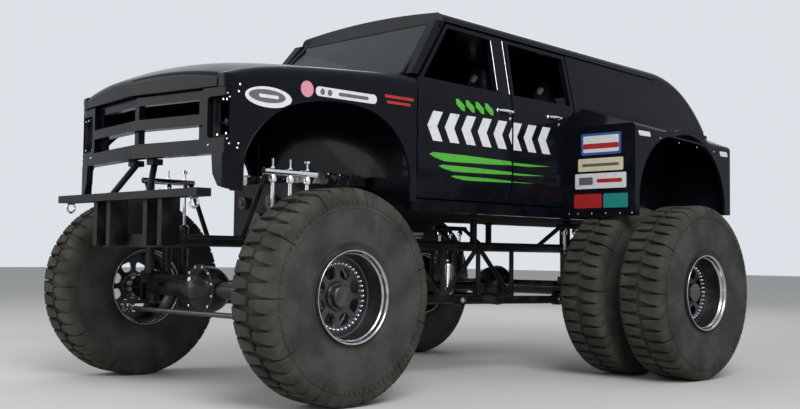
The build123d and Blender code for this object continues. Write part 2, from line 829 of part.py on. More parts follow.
# Dashboard against the firewall, bored for the steering column
wheel_hub = Vector(760, 420, 2130)
column_foot = Vector(firewall_x - 130, 420, 2065)
column_radius = 20
dash_outline = [
    (firewall_x - seat_gap, 1980),
    (firewall_x - 150, 1980),
    (firewall_x - 200, 2060),
    (firewall_x - 180, 2210),
    (firewall_x - seat_gap, 2250),
]
with BuildPart() as dashboard:
    plate(Plane.XZ, dash_outline, 1600)
    with BuildSketch(Plane(origin=column_foot, z_dir=wheel_hub - column_foot)):
        Circle(column_radius + seat_gap)
    extrude(amount=200, mode=Mode.SUBTRACT)
finished["dashboard"] = dashboard.part

# Steering wheel on its column
with BuildPart() as steering_wheel:
    plane = Plane(origin=wheel_hub, z_dir=wheel_hub - column_foot)
    with Locations(plane.location):
        Torus(185, 15)
        Cylinder(45, 40)
        with PolarLocations(0, 3, start_angle=90):
            Box(190, 26, 10, align=(Align.MIN, Align.CENTER, Align.CENTER))
    tube(tuple(column_foot), tuple(wheel_hub), column_radius)
finished["steering_wheel"] = steering_wheel.part


# Bucket seats
seat_rows = (30, -880)
seat_y = 420
seat_half = 240
seat_length = 540
seat_top = 1710
seat_rake = 12
back_length = 790
head_length = 1000
back_half_thickness = 55


def make_seat(x, y):
    """Build one bucket seat: pedestal, cushion and a raked back with a round head."""
    floor_z = sill_z + floor_thickness + seat_gap
    with BuildPart() as seat:
        foot_half = seat_half - 40
        box((x + 60, y - foot_half, floor_z), (x + seat_length - 60, y + foot_half, seat_top - 130))
        box((x, y - seat_half, seat_top - 140), (x + seat_length, y + seat_half, seat_top))
        for edge in (-1, 1):
            bolster = y + edge * (seat_half - 25)
            box((x, bolster - 25, seat_top - 20), (x + seat_length - 40, bolster + 25, seat_top + 50))
        up = Vector(-sin(radians(seat_rake)), 0, cos(radians(seat_rake)))
        foot = Vector(x + 40, y, seat_top - 70)
        back = Plane(origin=foot, x_dir=(0, 1, 0), z_dir=Vector(0, 1, 0).cross(up))
        shoulder = back_length - 150
        with BuildSketch(back) as outline:
            with BuildLine():
                Line((-seat_half, 0), (seat_half, 0))
                Line((seat_half, 0), (seat_half, shoulder))
                ThreePointArc((seat_half, shoulder), (200, back_length - 50), (110, back_length))
                ThreePointArc((110, back_length), (0, head_length), (-110, back_length))
                ThreePointArc((-110, back_length), (-200, back_length - 50), (-seat_half, shoulder))
                Line((-seat_half, shoulder), (-seat_half, 0))
            make_face()
        extrude(outline.sketch, amount=back_half_thickness, both=True)
    return seat.part


with BuildPart() as bucket_seats:
    for x in seat_rows:
        for y in (seat_y, -seat_y):
            add(make_seat(x, y))
finished["bucket_seats"] = bucket_seats.part

# Roof: one lofted skin that falls towards the rear
def rail_half(z):
    """Half the width between the roof rails at a height."""
    return belt_y + (rail_top_y - belt_y) * (z - belt_z) / (rail_top_z - belt_z)


def crowned_section(plane, half, crown):
    """Sketch a roof-like cross-section: flat below, rounded rails and a crowned top."""
    rise = roof_thickness
    with BuildSketch(plane) as section:
        with BuildLine():
            Line((-half, 0), (half, 0))
            ThreePointArc((half, 0), (half - 22, 0.68 * rise), (half - 85, rise))
            ThreePointArc((half - 85, rise), (0, crown), (85 - half, rise))
            ThreePointArc((85 - half, rise), (22 - half, 0.68 * rise), (-half, 0))
        make_face()
    return section.sketch


def roof_section(x):
    """Sketch the roof's cross-section at x, from rail to rail over the crown."""
    low = roof_bottom(x)
    plane = Plane(origin=(x, 0, low), x_dir=(0, 1, 0), z_dir=(1, 0, 0))
    return crowned_section(plane, rail_half(low), roof_crown)


with BuildPart() as roof:
    loft([roof_section(roof_front_x), roof_section(roof_rear_x)])
finished["roof"] = roof.part


def tail_section(angle, crown):
    """Sketch the tail's cross-section square to its arc."""
    x, z = tail_point(angle)
    slope = radians(angle)
    plane = Plane(origin=(x, 0, z), x_dir=(0, 1, 0), z_dir=(cos(slope), 0, sin(slope)))
    return crowned_section(plane, rail_half(z), crown)


def rear_window_cut(size, mode):
    """Cut or keep a rounded opening of this size, seen square to the tail's slope."""
    x, z = tail_point(tail_window_angle)
    slope = radians(tail_window_angle)
    square = Plane(origin=(x, 0, z), x_dir=(0, 1, 0), z_dir=(sin(slope), 0, -cos(slope)))
    with BuildSketch(square) as opening:
        RectangleRounded(*size, 60)
    extrude(opening.sketch, amount=2 * roof_crown, both=True, mode=mode)


# Tail: the curved frame round the rear window, with a sill between the quarters
tail_window_angle = 33
rear_window_size = (1280, 500)
tail_sill_depth = 45
with BuildPart() as tail_frame:
    loft(
        [
            tail_section(tail_start_angle, roof_crown),
            tail_section(tail_middle_angle, roof_crown),
            tail_section(tail_end_angle, roof_crown - 17),
        ]
    )
    rear_window_cut(rear_window_size, Mode.SUBTRACT)
    with BuildSketch(Plane.XZ) as inside:
        with Locations(tail_point(0, -tail_radius)):
            Circle(tail_radius)
    extrude(inside.sketch, amount=flare_y, both=True, mode=Mode.SUBTRACT)
    sill_half = belt_y - cabin_inset
    box(
        (body_rear_x, -sill_half, tail_foot_z - 40),
        (body_rear_x + tail_sill_depth, sill_half, tail_foot_z + 32),
    )
finished["tail_frame"] = tail_frame.part

# Window glass: the raked windshield and the curved rear pane
pane_height = 45
pane_half_thickness = 4
with BuildPart() as rear_pane:
    with BuildSketch(Plane.XZ) as pane_curve:
        with BuildLine():
            low_height = pane_height - pane_half_thickness
            high_height = pane_height + pane_half_thickness
            angles = (tail_start_angle, tail_middle_angle, tail_end_angle)
            low_points = [tail_point(angle, low_height) for angle in angles]
            high_points = [tail_point(angle, high_height) for angle in angles]
            ThreePointArc(*low_points)
            ThreePointArc(*high_points)
            Line(low_points[0], high_points[0])
            Line(low_points[-1], high_points[-1])
        make_face()
    extrude(pane_curve.sketch, amount=belt_y, both=True)
    pane_size = [length - 2 * seat_gap for length in rear_window_size]
    rear_window_cut(pane_size, Mode.INTERSECT)
with BuildPart() as window_glass:
    cabin_block(0, nose_x, cabin_inset)
    top_z = roof_bottom(glass_top_x) - seat_gap
    shield = [glass_base, (glass_base[0] + 12, glass_base[1])]
    side_view(shield + [(glass_top_x + 12, top_z), (glass_top_x, top_z)])
    add(rear_pane.part)
finished["window_glass"] = window_glass.part

# Tailgate: the lower rear panel over the ends of the quarters
with BuildPart() as tailgate:
    cabin_block(tailgate_x - tailgate_thickness, tailgate_x, 4)
    cut_below(tailgate_bottom)
    cut_above(tailgate_top)
    for side in (1, -1):
        start = side * (tailgate_hinge_y - seat_gap)
        inner_end = start - side * hinge_length
        low, high = lid_knuckle(tailgate_hinge_x, tailgate_hinge_z, start, inner_end)
        leaf = (tailgate_hinge_x - 6, low, tailgate_hinge_z)
        box(leaf, (tailgate_hinge_x + 6, high, tailgate_bottom + 10))
finished["tailgate"] = tailgate.part


# Front wheel arch: X from the axle and Z of each point, with every second one between two ends
front_arch_points = (
    (-960, 1480),
    (-830, 1830),
    (-500, 2012),
    (-230, 2032),
    (50, 1995),
    (360, 1850),
    (552, 1580),
)

# Front end's sections: X, height of the fender's top and rise of the hood's crown
front_start_x = door_front_x + hinge_gap
front_step = (nose_x + 10 - front_start_x) / 4
front_stations = (
    (front_start_x, cowl_top_z, 90),
    (front_start_x + front_step, cowl_top_z - 22, 92),
    (front_start_x + 2 * front_step, cowl_top_z - 55, 96),
    (front_start_x + 3 * front_step, cowl_top_z - 108, 98),
    (nose_x + 10, nose_low_z, 76),
)


def fender_section(side, x, top):
    """Sketch the fender's shell at x: its flank and the shelf beside the hood."""
    shelf = hood_half + 4
    wall = hood_skin
    bend = 90
    foot = grille_bottom - ear_drop - 1

    def at(y, z):
        return (side * y, z)

    with BuildSketch(Plane.YZ.offset(x)) as section:
        with BuildLine():
            Line(at(fender_y, foot), at(fender_y, top - bend))
            ThreePointArc(at(fender_y, top - bend), at(fender_y - 24, top - 25), at(fender_y - bend, top))
            Line(at(fender_y - bend, top), at(shelf, top + 4))
            Line(at(shelf, top + 4), at(shelf, top + 4 - wall))
            Line(at(shelf, top + 4 - wall), at(fender_y - bend, top - wall))
            ThreePointArc(
                at(fender_y - bend, top - wall),
                at(fender_y - 24 - 0.7 * wall, top - 25 - 0.7 * wall),
                at(fender_y - wall, top - bend),
            )
            Line(at(fender_y - wall, top - bend), at(fender_y - wall, foot))
            Line(at(fender_y - wall, foot), at(fender_y, foot))
        make_face()
    return section.sketch


def make_fender(side):
    """Build a front fender with its wheel arch and the corner that hangs below the grille."""
    foot = grille_bottom - ear_drop
    with BuildPart() as corner:
        with BuildSketch(Plane.YZ.offset(nose_x - front_zone)) as ear:
            with BuildLine():
                Polyline(
                    (side * (fender_y - 1), grille_bottom),
                    (side * ear_inner_y, grille_bottom),
                    (side * (ear_inner_y + 12), grille_bottom - 0.54 * ear_drop),
                    (side * (ear_inner_y + 60), grille_bottom - 0.87 * ear_drop),
                    (side * (fender_y - 1), foot),
                    close=True,
                )
            make_face()
        extrude(ear.sketch, amount=front_zone)
        nose_block(fender_y, nose_x - ear_depth, nose_corner, foot - 50, grille_top, Mode.SUBTRACT)
    arch_points = [(front_axle_x + along, z) for along, z in front_arch_points]
    with BuildPart() as fender:
        loft([fender_section(side, x, top) for x, top, crown in front_stations])
        add(corner.part)
        nose_block(fender_y, nose_x, nose_corner, foot - 50, rail_top_z, Mode.INTERSECT)
        with BuildSketch(Plane.XZ) as arch:
            with BuildLine():
                for index in range(0, len(arch_points) - 1, 2):
                    ThreePointArc(*arch_points[index : index + 3])
                rear_foot = (arch_points[0][0], foot - 50)
                front_foot = (arch_points[-1][0] + 8, foot - 50)
                Polyline(arch_points[-1], front_foot, rear_foot, arch_points[0])
            make_face()
        extrude(arch.sketch, amount=2 * flare_y, both=True, mode=Mode.SUBTRACT)
    return fender.part


finished["fender_left"] = make_fender(1)
finished["fender_right"] = make_fender(-1)

# Hood: a crowned skin with a turned-down front edge that follows the nose's point
hood_edge = hood_half - 4
hood_lip = 40
lip_bottom = grille_top + moving_gap


def hood_section(x, edge_z, crown):
    """Sketch the hood's solid cross-section at x, down to the lip's lower edge."""
    with BuildSketch(Plane.YZ.offset(x)) as section:
        with BuildLine():
            ThreePointArc((-hood_edge, edge_z), (0, edge_z + crown), (hood_edge, edge_z))
            Line((hood_edge, edge_z), (hood_edge, lip_bottom - 20))
            Line((hood_edge, lip_bottom - 20), (-hood_edge, lip_bottom - 20))
            Line((-hood_edge, lip_bottom - 20), (-hood_edge, edge_z))
        make_face()
    return section.sketch


def hood_block(drop, tip_x, radius):
    """Build the space under the hood's surface, lowered by drop and trimmed to the nose's plan."""
    with BuildPart() as block:
        stations = [(hood_rear_x, cowl_top_z - 5, 90)] + list(front_stations[1:])
        loft([hood_section(x, top + 5 - drop, crown) for x, top, crown in stations])
        nose_block(hood_edge, tip_x, 0, lip_bottom, rail_top_z, Mode.INTERSECT)
        front = block.edges().filter_by(lambda edge: edge.center().X > nose_x - front_zone / 2)
        front = front.filter_by(lambda edge: edge.length > 0.9 * hood_edge)
        fillet(front.group_by(Axis.Z)[-1], radius)
    return block.part


with BuildPart() as hood:
    add(hood_block(0, nose_x, hood_front_radius))
    add(hood_block(hood_skin, nose_x - hood_lip, hood_front_radius - hood_skin), mode=Mode.SUBTRACT)
    for side in (1, -1):
        start = side * (hood_hinge_y - seat_gap)
        inner_end = start - side * hinge_length
        low, high = lid_knuckle(hood_hinge_x, hood_hinge_z, start, inner_end)
        box((hood_hinge_x, low, hood_hinge_z - 8), (hood_rear_x + 15, high, hood_hinge_z - 1))
finished["hood"] = hood.part

# Grille panel: a wall that follows the nose, with recesses, two rows of openings and lamp buckets
opening_y = 322
grille_tip_x = nose_x - grille_setback
lamp_y = 838
lamp_z = 1846
lamp_opening = (190, 268)
recess_half = 700
recess_bands = ((1868, grille_top), (1700, 1800))
opening_width = 596
opening_rows = ((1928, 96), (1758, 88))
with BuildPart() as grille_recesses:
    for low, high in recess_bands:
        box((grille_tip_x - front_zone, -recess_half, low), (nose_x, recess_half, high))
    recess_tip = grille_tip_x - grille_recess
    nose_block(fender_y, recess_tip, nose_corner, grille_bottom, grille_top, Mode.SUBTRACT)
with BuildPart() as grille_panel:
    half = fender_y - hood_skin - seat_gap
    rear_tip = grille_tip_x - grille_recess - grille_wall
    nose_block(fender_y, grille_tip_x, nose_corner, grille_bottom + seat_gap, grille_top)
    box((grille_tip_x - front_zone, -half, 0), (nose_x, half, grille_top), Mode.INTERSECT)
    box((0, -half, 0), (rear_tip - nose_sweep * half, half, grille_top), Mode.SUBTRACT)
    nose_block(half + 1, rear_tip, 0, 0, grille_top, Mode.SUBTRACT)
    add(grille_recesses.part, mode=Mode.SUBTRACT)
    with BuildSketch(Plane.YZ.offset(grille_tip_x - front_zone)):
        for z, height in opening_rows:
            with Locations((opening_y, z), (-opening_y, z)):
                Rectangle(opening_width, height)
        with Locations((lamp_y, lamp_z), (-lamp_y, lamp_z)):
            RectangleRounded(*lamp_opening, 30)
    extrude(amount=front_zone + nose_corner, mode=Mode.SUBTRACT)
finished["grille_panel"] = grille_panel.part


# Rear flares: boxed arches whose top falls to the rear and swells over the wheel opening
flare_slant = 240
flare_inner_y = 800
arch_front_x = flare_front_x - 55
arch_rear_x = flare_rear_x + 95
arch_foot_z = flare_bottom - 120
arch_spring_z = 1500
arch_top_z = 2022
arch_front_round = 165
arch_crown_x = arch_front_x - 560
arch_rear_round = (215, 130)
dome_depth = 400


def flare_section(side, x, drop, inset_y, outset_y):
    """Sketch the flare's cross-section at x, lowered by drop and cut back to inset_y."""
    share = (flare_front_x - x) / (flare_front_x - flare_rear_x)
    outer = flare_y - outset_y
    top = flare_top_z + (flare_rear_top_z - flare_top_z) * share - drop
    with BuildSketch(Plane.YZ.offset(x)) as section:
        with BuildLine():
            if inset_y is None:
                flank_curve(side, -seat_gap)
                start = (side * (belt_y + seat_gap), belt_z)
                foot = (side * (sill_y + seat_gap), sill_z)
            else:
                start = (side * inset_y, belt_z - drop)
                foot = (side * inset_y, arch_foot_z)
                Line(foot, start)
            corner = (side * (outer - 50), top + 6)
            Line(start, corner)
            ThreePointArc(corner, (side * (outer - 12), top - 10), (side * outer, top - 50))
            Line((side * outer, top - 50), (side * outer, foot[1]))
            Line((side * outer, foot[1]), foot)
        make_face()
    return section.sketch


def flare_block(side, drop, inset_y, outset_y):
    """Loft the flare's cross-section along its length."""
    loft([flare_section(side, x, drop, inset_y, outset_y) for x in (flare_rear_x, flare_front_x)])


def arch_block(side, grow, y_inner, mode):
    """Add or cut the wheel opening's outline, grown outwards, from y_inner to the flare's face."""
    front = arch_front_x + grow
    rear = arch_rear_x - grow
    high = arch_top_z + grow
    with BuildSketch(Plane.XZ.offset(-side * y_inner)) as arch:
        with BuildLine():
            Line((front, arch_foot_z), (front, arch_spring_z))
            front_round = (front - arch_front_round, high - arch_front_round)
            ThreePointArc((front, arch_spring_z), front_round, (arch_crown_x, high))
            rear_round = (rear + arch_rear_round[0], high - arch_rear_round[1])
            ThreePointArc((arch_crown_x, high), rear_round, (rear, arch_spring_z))
            Line((rear, arch_spring_z), (rear, arch_foot_z))
            Line((rear, arch_foot_z), (front, arch_foot_z))
        make_face()
    extrude(arch.sketch, amount=-side * (flare_y - y_inner), mode=mode)


def make_flare(side):
    """Build the boxed rear flare: slanting front corner, open bottom, arch and its dome."""
    slant_x = flare_front_x - flare_slant
    with BuildPart() as hollow:
        flare_block(side, flare_wall, flare_inner_y, flare_wall)
        side_view(
            [
                (flare_front_x - flare_wall, arch_foot_z),
                (flare_front_x - flare_wall, flare_top_z - 20),
                (slant_x - flare_wall, belt_z - flare_wall - 20),
                (flare_rear_x + flare_wall, belt_z),
                (flare_rear_x + flare_wall, arch_foot_z),
            ]
        )
    with BuildPart() as dome:
        arch_block(side, flare_dome, flare_y - dome_depth, Mode.ADD)
        cut_below(arch_spring_z)
    with BuildPart() as flare:
        flare_block(side, 0, None, 0)
        side_view(
            [
                (flare_front_x, flare_bottom),
                (flare_front_x, flare_top_z),
                (slant_x, belt_z),
                (flare_rear_x, belt_z),
                (flare_rear_x, flare_bottom + 55),
                (flare_rear_x + 120, flare_bottom + 50),
            ]
        )
        add(dome.part)
        add(hollow.part, mode=Mode.SUBTRACT)
        arch_block(side, 0, flare_y - dome_depth + flare_wall, Mode.SUBTRACT)
    return flare.part


finished["rear_flare_left"] = make_flare(1)
finished["rear_flare_right"] = make_flare(-1)

for label, solid in finished.items():
    solid.label = label
    export_step(solid, f"parts/{label}.step")
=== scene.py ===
import math

import bmesh
import bpy
from mathutils import Matrix, Vector


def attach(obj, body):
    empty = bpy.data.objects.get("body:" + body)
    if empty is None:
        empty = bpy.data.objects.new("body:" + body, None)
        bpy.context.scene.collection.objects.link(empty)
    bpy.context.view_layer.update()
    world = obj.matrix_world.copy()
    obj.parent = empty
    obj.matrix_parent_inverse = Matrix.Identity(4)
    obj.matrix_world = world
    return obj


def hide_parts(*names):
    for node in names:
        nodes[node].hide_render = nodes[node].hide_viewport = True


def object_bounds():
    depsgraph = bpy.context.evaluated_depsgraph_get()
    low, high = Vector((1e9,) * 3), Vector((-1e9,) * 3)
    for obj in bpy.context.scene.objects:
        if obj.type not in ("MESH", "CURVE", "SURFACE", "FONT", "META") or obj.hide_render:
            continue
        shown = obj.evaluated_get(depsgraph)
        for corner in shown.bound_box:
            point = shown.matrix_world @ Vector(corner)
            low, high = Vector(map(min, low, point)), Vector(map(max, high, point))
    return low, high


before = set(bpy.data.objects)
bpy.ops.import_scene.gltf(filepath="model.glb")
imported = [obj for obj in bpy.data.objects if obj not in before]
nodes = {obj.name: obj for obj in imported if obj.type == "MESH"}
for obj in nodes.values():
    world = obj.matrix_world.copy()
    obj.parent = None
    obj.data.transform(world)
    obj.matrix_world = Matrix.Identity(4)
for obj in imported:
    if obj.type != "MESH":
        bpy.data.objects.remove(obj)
cad_low, cad_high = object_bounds()
scene = bpy.context.scene
scene.view_settings.view_transform = "Standard"

# The view: low in front of the truck's left corner, about a metre above the ground and turned
# slightly up, through a moderately long lens, with the camera's small roll to one side.
view_yaw = -2.34576
view_pitch = 0.05094
view_roll = 0.01188
view_lens = 48.8
view_shift = -0.0043

camera_data = bpy.data.cameras.new("view")
camera_data.sensor_width = 36
camera_data.lens = view_lens
camera_data.shift_y = view_shift
camera_data.clip_end = 200
camera = bpy.data.objects.new("view", camera_data)
camera.location = (6.844, 6.579, 0.968)
looking = Vector((math.cos(view_yaw), math.sin(view_yaw), math.tan(view_pitch)))
turn = looking.to_track_quat("-Z", "Y").to_matrix() @ Matrix.Rotation(view_roll, 3, "Z")
camera.rotation_euler = turn.to_euler()
scene.collection.objects.link(camera)
scene.camera = camera


# The studio: a wide pale floor under one large key light from the camera's left, a fill from
# the other side and a soft light from behind, in a plain light world.
class Value:
    """A number or colour in a shader that takes Python's operators."""

    def __init__(self, tree, socket):
        self.tree = tree
        self.socket = socket

    def math(self, operation, *terms):
        return self.tree.node("ShaderNodeMath", {"operation": operation}, dict(enumerate(terms)))

    def __add__(self, other):
        return self.math("ADD", self, other)

    def __sub__(self, other):
        return self.math("SUBTRACT", self, other)

    def __rsub__(self, other):
        return self.math("SUBTRACT", other, self)

    def __mul__(self, other):
        return self.math("MULTIPLY", self, other)

    def __pow__(self, other):
        return self.math("POWER", self, other)

    __radd__ = __add__
    __rmul__ = __mul__


class Tree:
    """A shader's node tree, filled through one method."""

    def __init__(self, tree):
        self.tree = tree

    def feed(self, socket, value):
        if isinstance(value, Value):
            self.tree.links.new(value.socket, socket)
        elif socket.type == "RGBA" and len(value) == 3:
            socket.default_value = (*value, 1.0)
        else:
            socket.default_value = value

    def node(self, kind, settings, values, output=0):
        """Add a node: its settings first, then the values or links of its sockets."""
        node = self.tree.nodes.new(kind)
        for key, setting in settings.items():
            setattr(node, key, setting)
        for key, value in values.items():
            self.feed(node.inputs[key], value)
        return Value(self, node.outputs[output])


class Finish(Tree):
    """One named surface finish: its shader and the nodes that vary it over the piece."""

    def __init__(self, name, sockets):
        self.material = bpy.data.materials.new(name)
        self.material.use_nodes = True
        super().__init__(self.material.node_tree)
        self.shader = self.tree.nodes["Principled BSDF"]
        self.set(sockets)

    def set(self, sockets):
        for name, value in sockets.items():
            self.feed(self.shader.inputs[name], value)

    def place(self):
        """The point on the piece, in metres, at rest."""
        return self.node("ShaderNodeTexCoord", {}, {}, "Object")

    def part(self, letter):
        """One coordinate of that point."""
        return self.node("ShaderNodeSeparateXYZ", {}, {0: self.place()}, letter)

    def noise(self, scale, detail):
        sockets = {"Vector": self.place(), "Scale": scale, "Detail": detail}
        return self.node("ShaderNodeTexNoise", {}, sockets)

    def ramp(self, value, low, high):
        """0 below low, 1 above high and smooth between them."""
        settings = {"interpolation_type": "SMOOTHSTEP"}
        return self.node("ShaderNodeMapRange", settings, {"Value": value, "From Min": low, "From Max": high})

    def mix(self, share, first, second):
        return self.node("ShaderNodeMix", {"data_type": "RGBA"}, {0: share, 6: first, 7: second}, 2)

    def relief(self, height, distance, strength):
        """Feed the shader's normal with a bump of that height in metres."""
        sockets = {"Height": height, "Distance": distance, "Strength": strength}
        self.set({"Normal": self.node("ShaderNodeBump", {}, sockets)})

    def wear(self, cloud, clean, dirty, roughness):
        """Drift in clouds of (scale, detail, low, high) from clean to dirty, and give the share of
        dirt; roughness is the clean one and what dirt adds to it."""
        scale, detail, low, high = cloud
        share = self.ramp(self.noise(scale, detail), low, high)
        self.set({"Base Color": self.mix(share, clean, dirty)})
        self.set({"Roughness": roughness[0] + share * roughness[1]})
        return share


floor_size = 120
floor_drop = 0.001
floor_finish = Finish("studio_floor", {"Roughness": 0.9, "Specular IOR Level": 0.1})
floor_tone = floor_finish.noise(0.6, 4.0)
floor_finish.set({"Base Color": floor_finish.mix(floor_tone, (0.60, 0.59, 0.57), (0.68, 0.67, 0.65))})
bpy.ops.mesh.primitive_plane_add(size=floor_size, location=(0, 0, -floor_drop))
floor = bpy.context.object
floor.name = "studio_floor"
floor.data.materials.append(floor_finish.material)

backdrop_colour = (0.90, 0.95, 1.0)
light_level = 0.45
backdrop_level = 0.80
world = bpy.data.worlds.new("studio")
scene.world = world
world.use_nodes = True
sky = Tree(world.node_tree)
backdrop = world.node_tree.nodes["Background"]
shown = sky.node("ShaderNodeLightPath", {}, {}, "Is Camera Ray")
for ray in ("Is Glossy Ray", "Is Transmission Ray"):
    shown = shown.math("MAXIMUM", shown, sky.node("ShaderNodeLightPath", {}, {}, ray))
sky.feed(backdrop.inputs["Color"], backdrop_colour)
sky.feed(backdrop.inputs["Strength"], light_level + shown * (backdrop_level - light_level))

# name, place, aim, size and power of each lamp
lamp_table = [
    ("key", (6.0, 9.5, 9.0), (0.5, 0.4, 1.2), 8.0, 1250.0),
    ("fill", (9.5, -6.0, 5.0), (0.5, 0.0, 1.2), 7.0, 380.0),
    ("back", (-9.0, -7.0, 7.5), (-1.0, 0.0, 1.5), 7.0, 260.0),
]
for lamp_name, spot, target, size, power in lamp_table:
    lamp_data = bpy.data.lights.new(lamp_name, "AREA")
    lamp_data.shape = "DISK"
    lamp_data.size = size
    lamp_data.energy = power
    lamp = bpy.data.objects.new(lamp_name, lamp_data)
    lamp.location = spot
    aim = Vector(target) - Vector(spot)
    lamp.rotation_euler = aim.to_track_quat("-Z", "Y").to_euler()
    scene.collection.objects.link(lamp)


# Tyres: six dusty mud tyres, 1.41 m high, with two staggered rows of 44 heavy rubber lugs. Each
# lug rises from the carcass and wraps over the shoulder, where plates tie the lugs in fours and
# small moulded blocks stand on the sidewall.
def circle(centre, out, across, radius, steps):
    """Points round a centre, from two directions square to its axis."""
    angles = [math.tau * step / steps for step in range(steps)]
    return [centre + (out * math.cos(angle) + across * math.sin(angle)) * radius for angle in angles]


class Form:
    """Points and faces of one piece, gathered before its mesh is made."""

    def __init__(self):
        self.points = []
        self.faces = []

    def add(self, points, faces):
        base = len(self.points)
        self.points += [Vector(point) for point in points]
        self.faces += [[base + index for index in face] for face in faces]

    def skin(self, rows, capped=True):
        """Join rings of equally many points with quads, and close both ends if capped."""
        count = len(rows[0])
        faces = []
        for corner in range(0, (len(rows) - 1) * count, count):
            for index in range(count):
                near, far = corner + index, corner + (index + 1) % count
                faces.append([near, far, far + count, near + count])
        if capped:
            last = (len(rows) - 1) * count
            faces.append(list(range(count))[::-1])
            faces.append([last + index for index in range(count)])
        self.add([point for row in rows for point in row], faces)

    def turned(self, profile, centre, axis=(0, 1, 0), steps=96, capped=False):
        """Turn a profile of (along, radius) pairs about an axis through the centre."""
        axis = Vector(axis).normalized()
        out = axis.orthogonal().normalized()
        across = axis.cross(out)
        centre = Vector(centre)
        self.skin([circle(centre + axis * along, out, across, r, steps) for along, r in profile], capped)

    def rod(self, path, radius, sides=14):
        """A round bar along a path of points, mitred at its corners."""
        path = [Vector(point) for point in path]
        rows = []
        out = (path[1] - path[0]).orthogonal().normalized()
        for index, point in enumerate(path):
            before = path[max(index - 1, 0)]
            after = path[min(index + 1, len(path) - 1)]
            along = (after - before).normalized()
            out = (out - along * out.dot(along)).normalized()
            rows.append(circle(point, out, along.cross(out), radius, sides))
        self.skin(rows)

    def bolt(self, seat, axis, radius, height):
        """A hexagonal head with a domed tip, standing on its seat."""
        steps = [(0.0, radius), (0.62 * height, radius), (0.72 * height, 0.8 * radius)]
        self.turned(steps + [(height, 0.35 * radius)], seat, axis, steps=6, capped=True)

    def block(self, low, high):
        """A straight block between its lowest and highest corners."""
        (x0, y0, z0), (x1, y1, z1) = low, high
        ring = [(x0, y0), (x1, y0), (x1, y1), (x0, y1)]
        self.skin([[(x, y, z) for x, y in ring] for z in (z0, z1)])


def piece(name, form, body, finish, sharp=40):
    """Make a piece from its form, give it its finish and let it ride on its body."""
    mesh = bpy.data.meshes.new(name)
    mesh.from_pydata(form.points, [], form.faces)
    tidy = bmesh.new()
    tidy.from_mesh(mesh)
    bmesh.ops.remove_doubles(tidy, verts=tidy.verts, dist=0.00001)
    bmesh.ops.recalc_face_normals(tidy, faces=tidy.faces)
    tidy.to_mesh(mesh)
    tidy.free()
    mesh.shade_smooth()
    mesh.set_sharp_from_angle(angle=math.radians(sharp))
    mesh.materials.append(finish.material)
    made = bpy.data.objects.new(name, mesh)
    scene.collection.objects.link(made)
    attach(made, body)
    return made


wheelbase = 3.24
front_axle_x = 2.2
rear_axle_x = front_axle_x - wheelbase
axle_z = 0.704
front_wheel_y = 1.237
rear_wheels_y = (1.305, 1.873)
tyre_half = 0.2075
lug_count = 44
lug_pitch = math.tau / lug_count
lug_edge = 0.0035
lug_nudge = 0.010
block_face = tyre_half - 0.0003
block_foot = block_face - 0.008
block_radii = (0.6170, 0.5960)
block_shift = 0.24
block_share = 0.15
plate_lugs = 4
plate_gap = 0.08
plate_steps = 12

rubber = Finish("tyre_rubber", {"Specular IOR Level": 0.25})
rubber_height = rubber.part("Z") - axle_z
front_reach = (rubber.part("X") - front_axle_x) ** 2.0 + rubber_height**2.0
rear_reach = (rubber.part("X") - rear_axle_x) ** 2.0 + rubber_height**2.0
wheel_reach = front_reach.math("MINIMUM", front_reach, rear_reach) ** 0.5
tread_share = rubber.ramp(wheel_reach, 0.585, 0.66)
rubber_cloud = rubber.ramp(rubber.noise(5.0, 6.0), 0.32, 0.70)
wall_tone = rubber.mix(rubber_cloud, (0.026, 0.0255, 0.024), (0.056, 0.054, 0.049))
tread_tone = rubber.mix(rubber_cloud, (0.028, 0.0265, 0.022), (0.062, 0.057, 0.047))
rubber_tone = rubber.mix(tread_share, wall_tone, tread_tone)
rubber_fleck = rubber.ramp(rubber.noise(70.0, 4.0), 0.55, 0.78) * 0.30
rubber.set({"Base Color": rubber.mix(rubber_fleck, rubber_tone, (0.090, 0.080, 0.062))})
rubber.set({"Roughness": 0.72 + tread_share * 0.14 + rubber_fleck * 0.2})
wall_rings = (wheel_reach * 210.0).math("SINE", wheel_reach * 210.0) * (1 - tread_share) * 0.35
rubber.relief(rubber.noise(240.0, 5.0) + wall_rings, 0.0012, 0.7)

# The carcass from its bead to the middle of the crown: distance from the middle, and radius
carcass_profile = [(0.1655, 0.2865), (0.1660, 0.3060), (0.1700, 0.3230), (0.1780, 0.3380), (0.1850, 0.3480)]
carcass_profile += [(0.1880, 0.3500), (0.1925, 0.3640), (0.1990, 0.3950), (0.2050, 0.4350), (0.2075, 0.4800)]
carcass_profile += [(0.2065, 0.5250), (0.2030, 0.5650), (0.1985, 0.5920), (0.1960, 0.6000), (0.1925, 0.6180)]
carcass_profile += [(0.1850, 0.6400), (0.1730, 0.6550), (0.1550, 0.6650), (0.1200, 0.6710), (0.0600, 0.6730)]
carcass_profile += [(0.0000, 0.6735)]
# Each station of a lug: distance from the middle, tip radius, foot radius, half its share of the
# pitch and its lead along the tread
lug_stations = [
    (0.010, 0.7030, 0.671, 0.21, 0.20),
    (0.034, 0.7040, 0.671, 0.26, 0.15),
    (0.072, 0.7040, 0.669, 0.325, 0.10),
    (0.115, 0.7035, 0.668, 0.375, 0.06),
    (0.145, 0.7020, 0.662, 0.405, 0.03),
    (0.168, 0.6940, 0.652, 0.425, 0.01),
    (0.184, 0.6780, 0.636, 0.440, 0.0),
    (0.1945, 0.6540, 0.616, 0.450, 0.0),
    (0.1985, 0.6290, 0.606, 0.452, 0.0),
]
